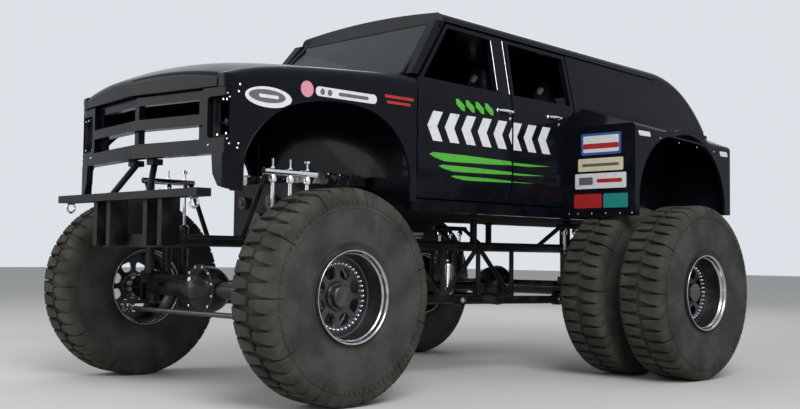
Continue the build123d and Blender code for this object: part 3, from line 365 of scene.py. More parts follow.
# A shoulder plate ties four lugs together: its section, from the crown down to the sidewall
plate_profile = [(0.1420, 0.6600), (0.1520, 0.6860), (0.1690, 0.6830), (0.1840, 0.6710), (0.1945, 0.6495)]
plate_profile += [(0.1990, 0.6260), (0.2035, 0.5850), (0.2060, 0.5670), (0.2000, 0.5600), (0.1880, 0.6100)]
plate_profile += [(0.1600, 0.6500)]


def wheel_point(centre, along, radius, angle):
    """A point on a wheel: along its axle, at a radius and an angle about it."""
    x, y, z = centre
    return (x + radius * math.cos(angle), y + along, z + radius * math.sin(angle))


def add_tyre(form, centre):
    """Add one tyre: carcass, two rows of lugs, shoulder plates and shoulder blocks."""
    whole = carcass_profile + [(-y, r) for y, r in carcass_profile[-2::-1]]
    form.turned(whole + [whole[0]], centre, steps=176)
    for way in (1, -1):
        for lug in range(lug_count):
            middle = (lug + (0.5 if way > 0 else 0.0)) * lug_pitch
            rows = []
            for order, (y, outer, base, share, skew) in enumerate(lug_stations):
                if order == 0 and lug % 2:
                    y += lug_nudge
                mid = middle + way * skew * lug_pitch
                half = share * lug_pitch
                soft = lug_edge / outer
                flank = [(half + 0.4 * soft, base), (half, outer - lug_edge), (half - soft, outer)]
                section = [(-swing, radius) for swing, radius in flank] + flank[::-1]
                rows.append([wheel_point(centre, way * y, radius, mid + swing) for swing, radius in section])
            form.skin(rows)
            for shift in (-block_shift, block_shift):
                start, end = (middle + (shift + edge * block_share) * lug_pitch for edge in (-1, 1))
                corners = ((block_foot, start), (block_face, start), (block_face, end), (block_foot, end))
                rows = []
                for radius in block_radii:
                    rows.append([wheel_point(centre, way * y, radius, angle) for y, angle in corners])
                form.skin(rows)
        for plate in range(0, lug_count, plate_lugs):
            start = (plate + plate_gap / 2 + (0.0 if way > 0 else 0.5)) * lug_pitch
            rows = []
            for step in range(plate_steps + 1):
                angle = start + step * (plate_lugs - plate_gap) * lug_pitch / plate_steps
                rows.append([wheel_point(centre, way * y, radius, angle) for y, radius in plate_profile])
            form.skin(rows)


# Body, side, axle, each tyre's distance from the middle, and the two nodes that are dressed
wheel_table = [
    ("wheel_front_left", 1, front_axle_x, [front_wheel_y], "tyre_front_left", "rim_front_left"),
    ("wheel_front_right", -1, front_axle_x, [front_wheel_y], "tyre_front_right", "rim_front_right"),
    ("wheels_rear_left", 1, rear_axle_x, rear_wheels_y, "tyres_rear_left", "rims_rear_left"),
    ("wheels_rear_right", -1, rear_axle_x, rear_wheels_y, "tyres_rear_right", "rims_rear_right"),
]
for body, side, x, rows_y, tyre_node, rim_node in wheel_table:
    for order, y in enumerate(rows_y):
        tyre = Form()
        add_tyre(tyre, (x, side * y, axle_z))
        made = piece(f"{tyre_node}_tread_{order}", tyre, body, rubber, sharp=28)
    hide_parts(tyre_node)


# Rims: deep welded steel rims, a polished double lip outside a dull rolled barrel. The disc sits
# far in, with eight hand holes cut through it, a ring of forty plated nuts and a black hub cap.
rim_steel = Finish("rim_steel", {"Metallic": 1.0})
rim_brush = rim_steel.noise(30.0, 5.0)
rim_steel.set({"Base Color": rim_steel.mix(rim_brush, (0.050, 0.052, 0.056), (0.130, 0.133, 0.138))})
rim_steel.set({"Roughness": 0.30 + rim_steel.noise(12.0, 3.0) * 0.18})

chrome = Finish("polished_chrome", {"Metallic": 1.0, "Base Color": (0.80, 0.81, 0.83)})
chrome.set({"Roughness": 0.05 + chrome.noise(25.0, 3.0) * 0.10})

lip_metal = Finish("lip_polish", {"Metallic": 1.0})
lip_metal.wear((16.0, 5.0, 0.40, 0.72), (0.50, 0.51, 0.52), (0.30, 0.30, 0.30), (0.12, 0.22))

hub_black = Finish("hub_black", {"Coat Weight": 0.4, "Coat Roughness": 0.1})
hub_black.wear((14.0, 5.0, 0.45, 0.75), (0.014, 0.014, 0.015), (0.05, 0.046, 0.04), (0.25, 0.35))

barrel_radius = 0.2745
disc_recess = 0.175
disc_thickness = 0.016
disc_inner = 0.098
disc_outer = 0.226
disc_steps = 32
hand_holes = 8
hand_hole_height = 0.036
hand_hole_width = 0.041
hand_hole_circle = 0.158
hand_hole_taper = 0.22
nut_count = 40
nut_circle = 0.216
hub_bolt_circle = 0.0865
turned_steps = 128
# How far from the truck's middle the hub begins, behind a single wheel and behind twin wheels
hub_backs = {1: 1.127, 2: 1.175}

# The lip and the barrel outside the disc: distance in from the tyre's widest point, and radius
lip_profile = [(0.0330, 0.3020), (0.0120, 0.3030), (0.0085, 0.3015), (0.0080, 0.2985), (0.0100, 0.2945)]
lip_profile += [(0.0150, 0.2905), (0.0230, 0.2870), (0.0330, 0.2850), (0.0400, 0.2830), (0.0425, 0.2800)]
lip_profile += [(0.0445, 0.2765), (0.0500, barrel_radius)]
barrel_profile = [(0.0500, barrel_radius), (0.1640, 0.2715), (0.1715, 0.2690), (0.1745, 0.2640)]
barrel_profile += [(disc_recess, 0.2560), (disc_recess, 0.2250)]


def add_disc(form, centre, side, depth, steps):
    """Add one face of the disc, as eight sectors that each hold one hand hole; each of the steps
    is a share of the way from the hole to the sector's edge, and a depth."""
    middle, reach = (disc_inner + disc_outer) / 2, (disc_outer - disc_inner) / 2
    for sector in range(hand_holes):
        mid = math.tau * (sector + 0.5) / hand_holes
        rows = []
        for share, back in steps:
            row = []
            for step in range(disc_steps):
                angle = math.tau * step / disc_steps
                low, high = math.cos(angle), math.sin(angle)
                spread = 1.0 / max(abs(low), abs(high))
                radius, swing = middle + low * spread * reach, high * spread * math.pi / hand_holes
                edge_x, edge_y = radius * math.cos(swing), radius * math.sin(swing)
                drop = math.copysign(abs(low) ** 0.6, low) * hand_hole_height
                hole_x = hand_hole_circle + drop
                hole_half = hand_hole_width + hand_hole_taper * drop
                hole_y = math.copysign(abs(high) ** 0.6, high) * hole_half
                px = hole_x + (edge_x - hole_x) * share
                py = hole_y + (edge_y - hole_y) * share
                along = side * (tyre_half - depth - back)
                row.append(wheel_point(centre, along, math.hypot(px, py), math.atan2(py, px) + mid))
            rows.append(row)
        form.skin(rows, capped=False)


for body, side, x, rows_y, tyre_node, rim_node in wheel_table:
    face = side * (tyre_half - disc_recess)
    for order, y in enumerate(rows_y):
        centre = (x, side * y, axle_z)
        lips = Form()
        for way in (side, -side):
            lips.turned([(way * (tyre_half - d), r) for d, r in lip_profile], centre, steps=turned_steps)
        barrel = Form()
        barrel.turned([(side * (tyre_half - d), r) for d, r in barrel_profile], centre, steps=turned_steps)
        inner_edge = [(face, 0.2560), (side * (tyre_half - 0.1790), 0.2700)]
        for along in (side * (tyre_half - 0.1850), -side * (tyre_half - 0.0500)):
            inner_edge.append((along, barrel_radius))
        barrel.turned(inner_edge, centre, steps=turned_steps)
        hole_walls = ((1.0, 0.0), (0.5, 0.0), (0.06, 0.0), (0.0, 0.002), (0.0, disc_thickness))
        add_disc(barrel, centre, side, disc_recess, hole_walls)
        add_disc(barrel, centre, side, disc_recess + disc_thickness, ((1.0, 0.0), (0.0, 0.0)))
        back = side * (tyre_half - disc_recess - disc_thickness)
        barrel.turned([(back, barrel_radius), (back, 0.2250)], centre, steps=turned_steps)
        piece(f"{rim_node}_barrel_{order}", barrel, body, rim_steel)
        piece(f"{rim_node}_lips_{order}", lips, body, lip_metal, sharp=60)
        nuts = Form()
        nut_steps = [(0.0, 0.0105), (0.003, 0.0105), (0.003, 0.0085), (0.013, 0.0085), (0.017, 0.0050)]
        nut_steps += [(0.0185, 0.0010)]
        for nut in range(nut_count):
            seat = wheel_point(centre, face, nut_circle, math.tau * nut / nut_count)
            nuts.turned([(side * d, r) for d, r in nut_steps], seat, steps=6, capped=True)
        piece(f"{rim_node}_nuts_{order}", nuts, body, chrome, sharp=30)
    hub = Form()
    outer_y = side * rows_y[-1]
    centre = (x, outer_y, axle_z)
    cap = [(0.0, 0.096), (0.016, 0.096), (0.020, 0.092), (0.022, 0.078), (0.056, 0.076)]
    cap += [(0.062, 0.070), (0.064, 0.02)]
    hub.turned([(face + side * d, r) for d, r in cap], centre, steps=64, capped=True)
    hub_back = side * hub_backs[len(rows_y)] - outer_y
    hub.turned([(face, 0.092), (hub_back, 0.092), (hub_back, 0.046)], centre, steps=64)
    for bolt in range(hand_holes):
        seat = wheel_point(centre, face + side * 0.018, hub_bolt_circle, math.tau * bolt / hand_holes)
        hub.turned([(0.0, 0.006), (side * 0.008, 0.006), (side * 0.010, 0.004)], seat, steps=6, capped=True)
    piece(f"{rim_node}_hub", hub, body, hub_black, sharp=35)
    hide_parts(rim_node)


# Axles and steering: welded tubes with a round differential to the right of the middle, forged
# knuckles on kingpins and a dull steel tie rod ahead of the front axle, all bolted, greasy and dusty.
axle_paint = Finish("axle_paint", {"Specular IOR Level": 0.30, "Coat Weight": 0.3, "Coat Roughness": 0.08})
axle_paint.wear((9.0, 6.0, 0.40, 0.70), (0.0065, 0.0068, 0.008), (0.024, 0.021, 0.018), (0.36, 0.38))
axle_paint.relief(axle_paint.noise(160.0, 4.0), 0.0006, 0.5)

differential_y = -0.2
differential_radius = 0.175
cover_bolts = 12
cover_bolt_circle = 0.172
cover_face = 0.078
kingpin_y = 0.95
knuckle_top_z = 0.832
knuckle_bolts = 4
knuckle_bolt_circle = 0.045
arm_pin_x = 2.45
arm_pin_low_z = 0.5235
rod_end_y = 0.872
rod_z = 0.546

covers = Form()
cover_heads = Form()
for x, way in ((front_axle_x, 1), (rear_axle_x, -1)):
    middle = (x, differential_y, axle_z)
    flange = [(0.060, 0.150), (0.060, 0.184), (0.063, 0.187), (0.075, 0.187), (cover_face, 0.184)]
    flange += [(cover_face, 0.150)]
    covers.turned(flange, middle, (way, 0, 0), steps=64)
    for count in range(cover_bolts):
        angle = math.tau * (count + 0.5) / cover_bolts
        across, up = cover_bolt_circle * math.cos(angle), cover_bolt_circle * math.sin(angle)
        seat = (x + way * cover_face, differential_y + across, axle_z + up)
        cover_heads.bolt(seat, (way, 0, 0), 0.011, 0.010)
    cover_heads.bolt((x, differential_y, axle_z - differential_radius + 0.004), (0, 0, -1), 0.016, 0.012)
    spot = (x + way * 0.150, differential_y, axle_z + 0.075)
    plug = [(0.0, 0.021), (0.012, 0.021), (0.016, 0.017), (0.016, 0.004)]
    cover_heads.turned(plug, spot, (way, 0, 0.5), 8, True)
piece("differential_covers", covers, "truck", axle_paint, sharp=30)
piece("differential_bolts", cover_heads, "truck", chrome, sharp=30)

sides = ((1, "left"), (-1, "right"))
for side, name in sides:
    hardware = Form()
    top = (front_axle_x, side * kingpin_y, knuckle_top_z)
    hardware.turned([(0, 0.030), (0.006, 0.030), (0.009, 0.026), (0.010, 0.008)], top, (0, 0, 1), 32, True)
    hardware.bolt((top[0], top[1], top[2] + 0.009), (0, 0, 1), 0.006, 0.010)
    for count in range(knuckle_bolts):
        angle = math.tau * (count + 0.5) / knuckle_bolts
        ahead, across = knuckle_bolt_circle * math.cos(angle), knuckle_bolt_circle * math.sin(angle)
        hardware.bolt((top[0] + ahead, top[1] + across, top[2]), (0, 0, 1), 0.009, 0.009)
    hardware.bolt((arm_pin_x, side * kingpin_y, arm_pin_low_z), (0, 0, -1), 0.021, 0.016)
    piece(f"knuckle_{name}_bolts", hardware, f"knuckle_{name}", chrome, sharp=30)

rod_ends = Form()
for side in (1, -1):
    middle = (arm_pin_x, side * rod_end_y, rod_z)
    rod_ends.turned([(0, 0.019), (0, 0.029), (0.030, 0.029), (0.030, 0.019)], middle, (0, side, 0), 6)
    rod_ends.turned([(-0.060, 0.019), (-0.060, 0.026), (0.0, 0.026), (0.0, 0.019)], middle, (0, side, 0), 24)
piece("tie_rod_nuts", rod_ends, "tie_rod", chrome, sharp=30)


# Suspension: plain lower links between bolted eyes, and at each corner three shock absorbers side by
# side, black cans with ribs and plated shafts. In front their studs and nuts stand up through a
# plated bar.
shock_pitch = 0.15
shock_y = 0.76
shock_foot_z = 0.8063
shock_table = [("front", front_axle_x, 1.53), ("rear", rear_axle_x, 1.25)]
shock_ribs = 9
bar_radius = 0.022
bar_gap = 0.0003
link_pin_y = 0.659

shock_cans = Form()
shock_shafts = Form()
for end, x, bar_z in shock_table:
    length = bar_z - bar_radius - bar_gap - shock_foot_z
    can = 0.55 * length
    can_steps = [(0.0, 0.016), (0.0, 0.030), (0.008, 0.036), (can - 0.045, 0.036), (can - 0.042, 0.039)]
    can_steps += [(can - 0.012, 0.039), (can - 0.008, 0.036), (can, 0.030), (can + 0.004, 0.014)]
    shaft_steps = [(can - 0.01, 0.0125), (length - 0.050, 0.0125), (length - 0.046, 0.024)]
    shaft_steps += [(length - 0.014, 0.026), (length - 0.006, 0.022), (length, 0.020)]
    for side in (1, -1):
        for step in (-1, 0, 1):
            foot = (x + step * shock_pitch, side * shock_y, shock_foot_z)
            shock_cans.turned(can_steps, foot, (0, 0, 1), 32, True)
            for rib in range(shock_ribs):
                low = 0.06 + rib * 0.016
                bulge = [(low, 0.0355), (low + 0.003, 0.0385), (low + 0.007, 0.0385), (low + 0.010, 0.0355)]
                shock_cans.turned(bulge, foot, (0, 0, 1), 32)
            shock_shafts.turned(shaft_steps, foot, (0, 0, 1), 28, True)
            if end == "front":
                head = Vector((foot[0], foot[1], bar_z + bar_radius - 0.004))
                shock_shafts.turned([(0, 0.007), (0.072, 0.007)], head, (0, 0, 1), 12, True)
                shock_shafts.bolt(head + Vector((0, 0, 0.004)), (0, 0, 1), 0.016, 0.014)
                if step == -1:
                    knob = [(0.050, 0.007), (0.054, 0.020), (0.070, 0.020), (0.078, 0.012), (0.086, 0.002)]
                    shock_shafts.turned(knob, head, (0, 0, 1), 24, True)
        if end == "front":
            sleeve = [(-0.228, 0.0215), (-0.228, 0.0240), (0.228, 0.0240), (0.228, 0.0215)]
            shock_shafts.turned(sleeve, (x, side * shock_y, bar_z), (1, 0, 0), 32)

shock_metal = Finish("shock_plating", {"Metallic": 1.0})
shock_metal.wear((26.0, 5.0, 0.45, 0.72), (0.46, 0.47, 0.49), (0.22, 0.21, 0.20), (0.16, 0.30))
cans = piece("shock_cans", shock_cans, "truck", axle_paint)
piece("shock_shafts", shock_shafts, "truck", chrome)
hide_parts("shock_absorbers")

link_pins = [(front_axle_x - 0.08, 0.60), (rear_axle_x + 0.08, 0.60), (0.93, 0.62), (0.32, 0.62)]
link_bolts = Form()
for x, z in link_pins:
    for side in (1, -1):
        link_bolts.turned([(0, 0.030), (0.003, 0.030)], (x, side * link_pin_y, z), (0, side, 0), 28, True)
        link_bolts.bolt((x, side * (link_pin_y + 0.003), z), (0, side, 0), 0.023, 0.016)
piece("link_bolts", link_bolts, "truck", shock_metal, sharp=30)


# Chassis: two trusses of welded round tube under satin black paint, with a weld bead round each
# upright, rubber mounts under the body, a plated finned cooler inside the left truss and a bumper
# with bolts and a plated tow ring at each end.
satin_black = Finish("chassis_paint", {"Specular IOR Level": 0.15})
satin_black.wear((7.0, 6.0, 0.42, 0.72), (0.0055, 0.0058, 0.0068), (0.020, 0.0185, 0.016), (0.34, 0.35))
satin_black.relief(satin_black.noise(210.0, 3.0), 0.0003, 0.4)

truss_y = 0.48
truss_stations = [-0.5 + index * 0.4375 for index in range(5)]
top_rail_z = 1.06
low_rail_z = 0.62
rail_radius = 0.035
web_radius = 0.02
mount_stations = (-2.5, -1.3, 0.0, 1.0)
mount_z = 1.2882

mount_rubber = Finish("mount_rubber", {"Specular IOR Level": 0.2, "Roughness": 0.8})
mount_dust = mount_rubber.noise(30.0, 5.0)
mount_rubber.set({"Base Color": mount_rubber.mix(mount_dust, (0.012, 0.012, 0.012), (0.035, 0.033, 0.029))})

welds = Form()
mounts = Form()
for side in (1, -1):
    for x in truss_stations:
        for z, way in ((top_rail_z - rail_radius, -1), (low_rail_z + rail_radius, 1)):
            bead = [(-0.004, 0.008), (0.002, 0.0085), (0.007, 0.004), (0.009, -0.002)]
            bead = [(way * along, web_radius + rise) for along, rise in bead]
            welds.turned(bead, (x, side * truss_y, z), (0, 0, 1), 24)
    for x in mount_stations:
        puck = [(0, 0.030), (0, 0.044), (0.003, 0.047), (0.018, 0.047), (0.021, 0.044), (0.021, 0.030)]
        mounts.turned(puck, (x, side * truss_y, mount_z), (0, 0, 1), 32)
        rest = (x, side * truss_y, top_rail_z + rail_radius - 0.003)
        bead = [(-0.004, 0.039), (0.003, 0.038), (0.009, 0.029)]
        welds.turned(bead, rest, (0, 0, 1), 24)
piece("truss_welds", welds, "truck", satin_black, sharp=50)
piece("body_mounts", mounts, "truck", mount_rubber)

cooler = Form()
cooler_foot = (0.235, 0.402, 0.662)
cooler_fins = 11
cooler_steps = [(0.0, 0.020), (0.0, 0.050)]
for fin in range(cooler_fins):
    low = 0.012 + fin * 0.021
    cooler_steps += [(low, 0.038), (low + 0.004, 0.055), (low + 0.009, 0.055), (low + 0.013, 0.038)]
cooler_steps += [(0.250, 0.046), (0.262, 0.030), (0.268, 0.014), (0.285, 0.012)]
cooler.turned(cooler_steps, cooler_foot, (0, 0, 1), 36, True)
cooler.block((0.197, 0.392, 0.650), (0.273, 0.500, 0.662))
piece("truss_cooler", cooler, "truck", chrome, sharp=35)

bumper_bolts = Form()
bumper_bolt_rows = (-0.42, -0.24, 0.24, 0.42)
bumper_top_z = 1.382
bumper_x = cad_high[0] - 0.055
tow_pin = (cad_high[0] - 0.05, 0.80, 1.318)
for y in bumper_bolt_rows:
    for step in (-0.018, 0.018):
        bumper_bolts.bolt((bumper_x + step, y, bumper_top_z), (0, 0, 1), 0.010, 0.009)
for side in (1, -1):
    x, y, z = tow_pin[0], side * tow_pin[1], tow_pin[2]
    path = []
    for step in range(17):
        angle = math.pi * (0.53 + step / 8 * 0.94)
        path.append((x + 0.030 * math.cos(angle), y, z - 0.022 + 0.036 * math.sin(angle)))
    bumper_bolts.rod(path, 0.008, 12)
    bumper_bolts.turned([(-0.026, 0.009), (0.026, 0.009)], (x, y, z + 0.006), (1, 0, 0), 16, True)
piece("bumper_hardware", bumper_bolts, "truck", chrome, sharp=30)


# Engine: a big black vee block with finned bright covers, four bare steel header pipes a side that
# run down into a collector, and the pulleys of its front drive.
engine_iron = Finish("engine_iron", {"Specular IOR Level": 0.3})
engine_iron.wear((11.0, 6.0, 0.40, 0.72), (0.014, 0.015, 0.018), (0.045, 0.038, 0.030), (0.42, 0.35))
engine_iron.relief(engine_iron.noise(90.0, 5.0), 0.0012, 0.6)

header_steel = Finish("header_steel", {"Metallic": 1.0})
heat = header_steel.ramp(header_steel.part("Z") + header_steel.noise(6.0, 4.0) * 0.15, 1.20, 1.46)
header_steel.set({"Base Color": header_steel.mix(heat, (0.42, 0.42, 0.43), (0.36, 0.33, 0.29))})
header_steel.set({"Roughness": 0.22 + header_steel.noise(40.0, 4.0) * 0.25})

ports = 4
port_x = 1.28
port_pitch = 0.16
port_y = 0.3302
port_z = 1.38
collector_y = 0.402
collector_path = [(1.16, 1.152), (1.06, 1.150), (0.56, 1.150)]
pulley_x = 1.8795
cover_bolt_pairs = 6
cover_bolt_x = 1.225
cover_bolt_pitch = 0.114
cover_top_z = 1.5698

headers = Form()
for side in (1, -1):
    for port in range(ports):
        x = port_x + port * port_pitch
        path = [(x, 0.325, port_z), (x, 0.352, port_z), (x - 0.004, 0.374, 1.372), (x - 0.012, 0.388, 1.352)]
        path += [(x - 0.030, 0.396, 1.31), (x - 0.075, 0.400, 1.245), (x - 0.130, 0.401, 1.198)]
        path += [(min(x - 0.19, 1.20), collector_y, 1.158), (1.13, collector_y, 1.150)]
        headers.rod([(px, side * py, pz) for px, py, pz in path], 0.0205, 16)
        flange = [(0, 0.024), (0, 0.036), (0.009, 0.036), (0.009, 0.024)]
        headers.turned(flange, (x, side * port_y, port_z), (0, side, 0), 6)
    headers.rod([(x, side * collector_y, z) for x, z in collector_path], 0.036, 28)
piece("headers", headers, "truck", header_steel, sharp=45)

pulleys = Form()
pulley_table = [(0.0, 1.20, 0.085, 0.050), (0.17, 1.36, 0.055, 0.055), (-0.17, 1.36, 0.048, 0.055)]
for y, z, radius, reach in pulley_table:
    steps = [(0.0, 0.026), (0.016, 0.026), (0.016, radius), (0.024, radius), (0.030, radius - 0.012)]
    steps += [(0.036, radius), (0.044, radius), (0.044, 0.026), (reach, 0.022), (reach, 0.004)]
    pulleys.turned(steps, (pulley_x, y, z), (1, 0, 0), 48, True)
piece("engine_pulleys", pulleys, "truck", rim_steel, sharp=35)

valve_bolts = Form()
for side in (1, -1):
    for index in range(cover_bolt_pairs):
        for y in (0.262, 0.418):
            seat = (cover_bolt_x + index * cover_bolt_pitch, side * y, cover_top_z)
            valve_bolts.bolt(seat, (0, 0, 1), 0.007, 0.016)
piece("valve_cover_bolts", valve_bolts, "truck", chrome, sharp=30)


# The body's panels: folded steel under black gloss paint, whose base colour carries a blue tint that is a
# painted reflection of the sky, with a film of road dust that thickens towards the sills. They are the
# imported panels, and only finishes are made here, for the imported pieces of the frame, axles, engine and
# cab too.
body_paint = Finish("body_paint", {"Specular IOR Level": 0.07, "Coat Weight": 0.05, "Coat Roughness": 0.03})
paint_dust = 1 - body_paint.ramp(body_paint.part("Z"), 1.32, 1.95)
paint_dust = (paint_dust * 0.8 + 0.2) * body_paint.ramp(body_paint.noise(5.0, 6.0), 0.38, 0.75)
# The base black is the paint's own colour with a blue tint added: painted reflection of the blue sky.
black_with_painted_sky_blue, dust_grey = (0.0036, 0.0046, 0.0080), (0.022, 0.021, 0.021)
body_paint.set({"Base Color": body_paint.mix(paint_dust * 0.30, black_with_painted_sky_blue, dust_grey)})
body_paint.set({"Roughness": 0.13 + paint_dust * 0.3 + body_paint.noise(3.0, 4.0) * 0.06})
body_paint.relief(body_paint.noise(260.0, 2.0), 0.00005, 0.3)

dash_plastic = Finish("dash_plastic", {"Roughness": 0.6, "Specular IOR Level": 0.25})
dash_tone = dash_plastic.noise(18.0, 5.0)
dash_plastic.set({"Base Color": dash_plastic.mix(dash_tone, (0.012, 0.0125, 0.013), (0.026, 0.026, 0.026))})
dash_plastic.relief(dash_plastic.noise(420.0, 3.0), 0.0003, 0.6)

underseal = Finish("underseal", {"Roughness": 0.92, "Specular IOR Level": 0.04})
underseal_grime = underseal.noise(8.0, 6.0)
underseal.set({"Base Color": underseal.mix(underseal_grime, (0.0045, 0.0045, 0.005), (0.016, 0.0145, 0.012))})
underseal.relief(underseal.noise(130.0, 5.0), 0.001, 0.8)

finish_table = [
    (body_paint, "roof hood tailgate tail_frame grille_panel firewall_cowl"),
    (body_paint, "body_side_left fender_left rear_flare_left door_front_left door_rear_left"),
    (body_paint, "body_side_right fender_right rear_flare_right door_front_right door_rear_right"),
    (underseal, "floor_pan"),
    (satin_black, "chassis_frame front_bumper rear_hitch suspension_links driveline"),
    (axle_paint, "front_axle rear_axle knuckle_left knuckle_right"),
    (engine_iron, "engine_block"),
    (dash_plastic, "dashboard steering_wheel bucket_seats"),
    (shock_metal, "valve_covers shock_absorbers"),
    (rim_steel, "tie_rod"),
]
for finish, names in finish_table:
    for name in names.split():
        slots = nodes[name].material_slots
        if not slots:
            nodes[name].data.materials.append(finish.material)
        for slot in slots:
            slot.material = finish.material


# Edges of the body: rolled lips round the four wheel openings, drip rails along the roof, rubber
# gaskets round the windshield and the rear pane, and plated screws where panels and flares join.
fender_face = 0.976
flank_face = 0.98
flare_face = 1.655
flare_front_x = -0.640
nose_slant = 0.153
arch_foot_z = 1.371
front_arch = [(1.240, 1.480), (1.370, 1.830), (1.700, 2.012), (1.970, 2.032)]
front_arch += [(2.250, 1.995), (2.560, 1.850), (2.752, 1.580)]
flare_arch = [(-0.695, 1.500), (-0.8605, 1.857), (-1.255, 2.022), (-1.860, 1.892), (-2.075, 1.500)]


def arc_through(first, middle, last, steps=14):
    """Points of the arc through three points of a plane, without its first one."""
    (ax, ay), (bx, by), (cx, cy) = first, middle, last
    double = 2 * (ax * (by - cy) + bx * (cy - ay) + cx * (ay - by))
    squares = [x * x + y * y for x, y in (first, middle, last)]
    ox = (squares[0] * (by - cy) + squares[1] * (cy - ay) + squares[2] * (ay - by)) / double
    oy = (squares[0] * (cx - bx) + squares[1] * (ax - cx) + squares[2] * (bx - ax)) / double
    start, half, end = (math.atan2(y - oy, x - ox) for x, y in (first, middle, last))
    sweep = (end - start) % math.tau
    if (half - start) % math.tau > sweep:
        sweep -= math.tau
    radius = math.hypot(ax - ox, ay - oy)
    angles = [start + sweep * (step + 1) / steps for step in range(steps)]
    return [(ox + radius * math.cos(angle), oy + radius * math.sin(angle)) for angle in angles]


def arch_line(points):
    """A line of arcs, each through three points; the last of one is the first of the next."""
    line = [points[0]]
    for index in range(0, len(points) - 2, 2):
        line += arc_through(*points[index : index + 3])
    return line


def flank_at(z):
    """Distance of the doors' outer face from the middle, at a height."""
    sill, low, high = (0.9, 1.31), (flank_face, 1.72), (flank_face, 2.08)
    waist, roof = (0.962, 2.275), (0.842, 2.890)
    if low[1] <= z <= high[1]:
        return flank_face
    if z < low[1]:
        line = [sill] + arc_through(sill, (0.962, 1.5), low, 24)
    elif z < waist[1]:
        line = [high] + arc_through(high, (0.975, 2.1775), waist, 12)
    else:
        line = [waist, roof]
    for (y0, z0), (y1, z1) in zip(line, line[1:]):
        if z <= z1 + 0.00001:
            return y0 + (y1 - y0) * (z - z0) / (z1 - z0)
    return line[-1][0]


def rounded(half_a, half_b, corner, steps=6):
    """Corners and sides of a rounded rectangle about the origin."""
    points = []
    for quarter, (a, b) in enumerate(((1, 1), (-1, 1), (-1, -1), (1, -1))):
        for step in range(steps + 1):
            angle = math.tau * (quarter + step / steps) / 4
            middle = (a * (half_a - corner), b * (half_b - corner))
            points.append((middle[0] + corner * math.cos(angle), middle[1] + corner * math.sin(angle)))
    return points


lips = Form()
rails = Form()
gasket = Form()
screws = Form()
roof_front_x, roof_front_z = 0.80, 2.795
roof_rear_x, roof_rear_z = -2.15, 2.696
gutter_steps = 8
# Screws by their Y and Z on the grille panel, X and Z on the fender's nose, Y along the foot of the
# flare's front and X along its upper edge
grille_screws = ((0.930, 1.990), (0.944, 1.965), (0.930, 1.700), (0.944, 1.668), (0.760, 1.668))
fender_screws = ((2.792, 2.046), (2.800, 2.000), (2.796, 1.668), (2.804, 1.640))
flare_foot_screws = (0.998, 1.090, 1.230, 1.370, 1.510, 1.625)
flare_edge_screws = (-0.72, -1.01, -1.30, -1.59, -1.88, -2.11)
for side in (1, -1):
    line = [(1.240, arch_foot_z)] + arch_line(front_arch) + [(2.759, arch_foot_z)]
    lips.rod([(x, side * (fender_face - 0.005), z) for x, z in line], 0.0085, 12)
    line = [(-0.695, 1.325)] + arch_line(flare_arch) + [(-2.075, 1.375)]
    lips.rod([(x, side * (flare_face - 0.006), z) for x, z in line], 0.0095, 12)
    gutter = [(0.846, 0.876, 2.742), (roof_front_x + 0.004, 0.868, roof_front_z - 0.002)]
    for step in range(gutter_steps + 1):
        share = step / gutter_steps
        x = roof_front_x - 0.03 + (roof_rear_x - roof_front_x + 0.06) * share
        z = roof_front_z - 0.003 + (roof_rear_z - roof_front_z) * share
        gutter.append((x, flank_at(z) + 0.006, z))
    rails.rod([(x, side * y, z) for x, y, z in gutter], 0.0085, 10)
    for y, z in grille_screws:
        seat = (2.9885 - nose_slant * y + (0.0005 if y < 0.94 else -0.004), side * y, z)
        screws.bolt(seat, (1, 0, 0), 0.007, 0.007)
    for x, z in fender_screws:
        screws.bolt((x, side * fender_face, z), (0, side, 0), 0.0085, 0.008)
    for y in flare_foot_screws:
        screws.bolt((flare_front_x, side * y, 1.345), (1, 0, 0), 0.008, 0.007)
    for x in flare_edge_screws:
        seat = (x, side * flare_face, 2.0 + (x - flare_front_x) * 0.0556)
        screws.bolt(seat, (0, side, 0), 0.007, 0.006)
pane_foot, pane_head = (1.2505, 0.862, 2.3245), (0.8245, 0.768, 2.791)
ring = [(x, side * y, z) for side, edge in ((1, 1), (-1, -1)) for x, y, z in (pane_foot, pane_head)[::edge]]
for start, end in zip(ring, ring[1:] + ring[:1]):
    gasket.rod([start, end], 0.013, 10)
tail_middle = Vector((-2.1428, 0.0, 1.872))
tail_slope = math.radians(33)
outwards = Vector((-math.sin(tail_slope), 0.0, math.cos(tail_slope)))
upwards = Vector((math.cos(tail_slope), 0.0, math.sin(tail_slope)))
pane_radius = 0.875
ring = []
for across, along in rounded(0.636, 0.246, 0.058, 8):
    reach = math.sqrt(pane_radius**2 - along**2)
    ring.append(tail_middle + outwards * reach + upwards * along + Vector((0, across, 0)))
gasket.rod(ring + ring[:1], 0.011, 10)
piece("wheel_arch_lips", lips, "truck", body_paint, sharp=60)
piece("drip_rails", rails, "truck", body_paint, sharp=60)
piece("window_gaskets", gasket, "truck", dash_plastic, sharp=50)
piece("panel_screws", screws, "truck", chrome, sharp=30)


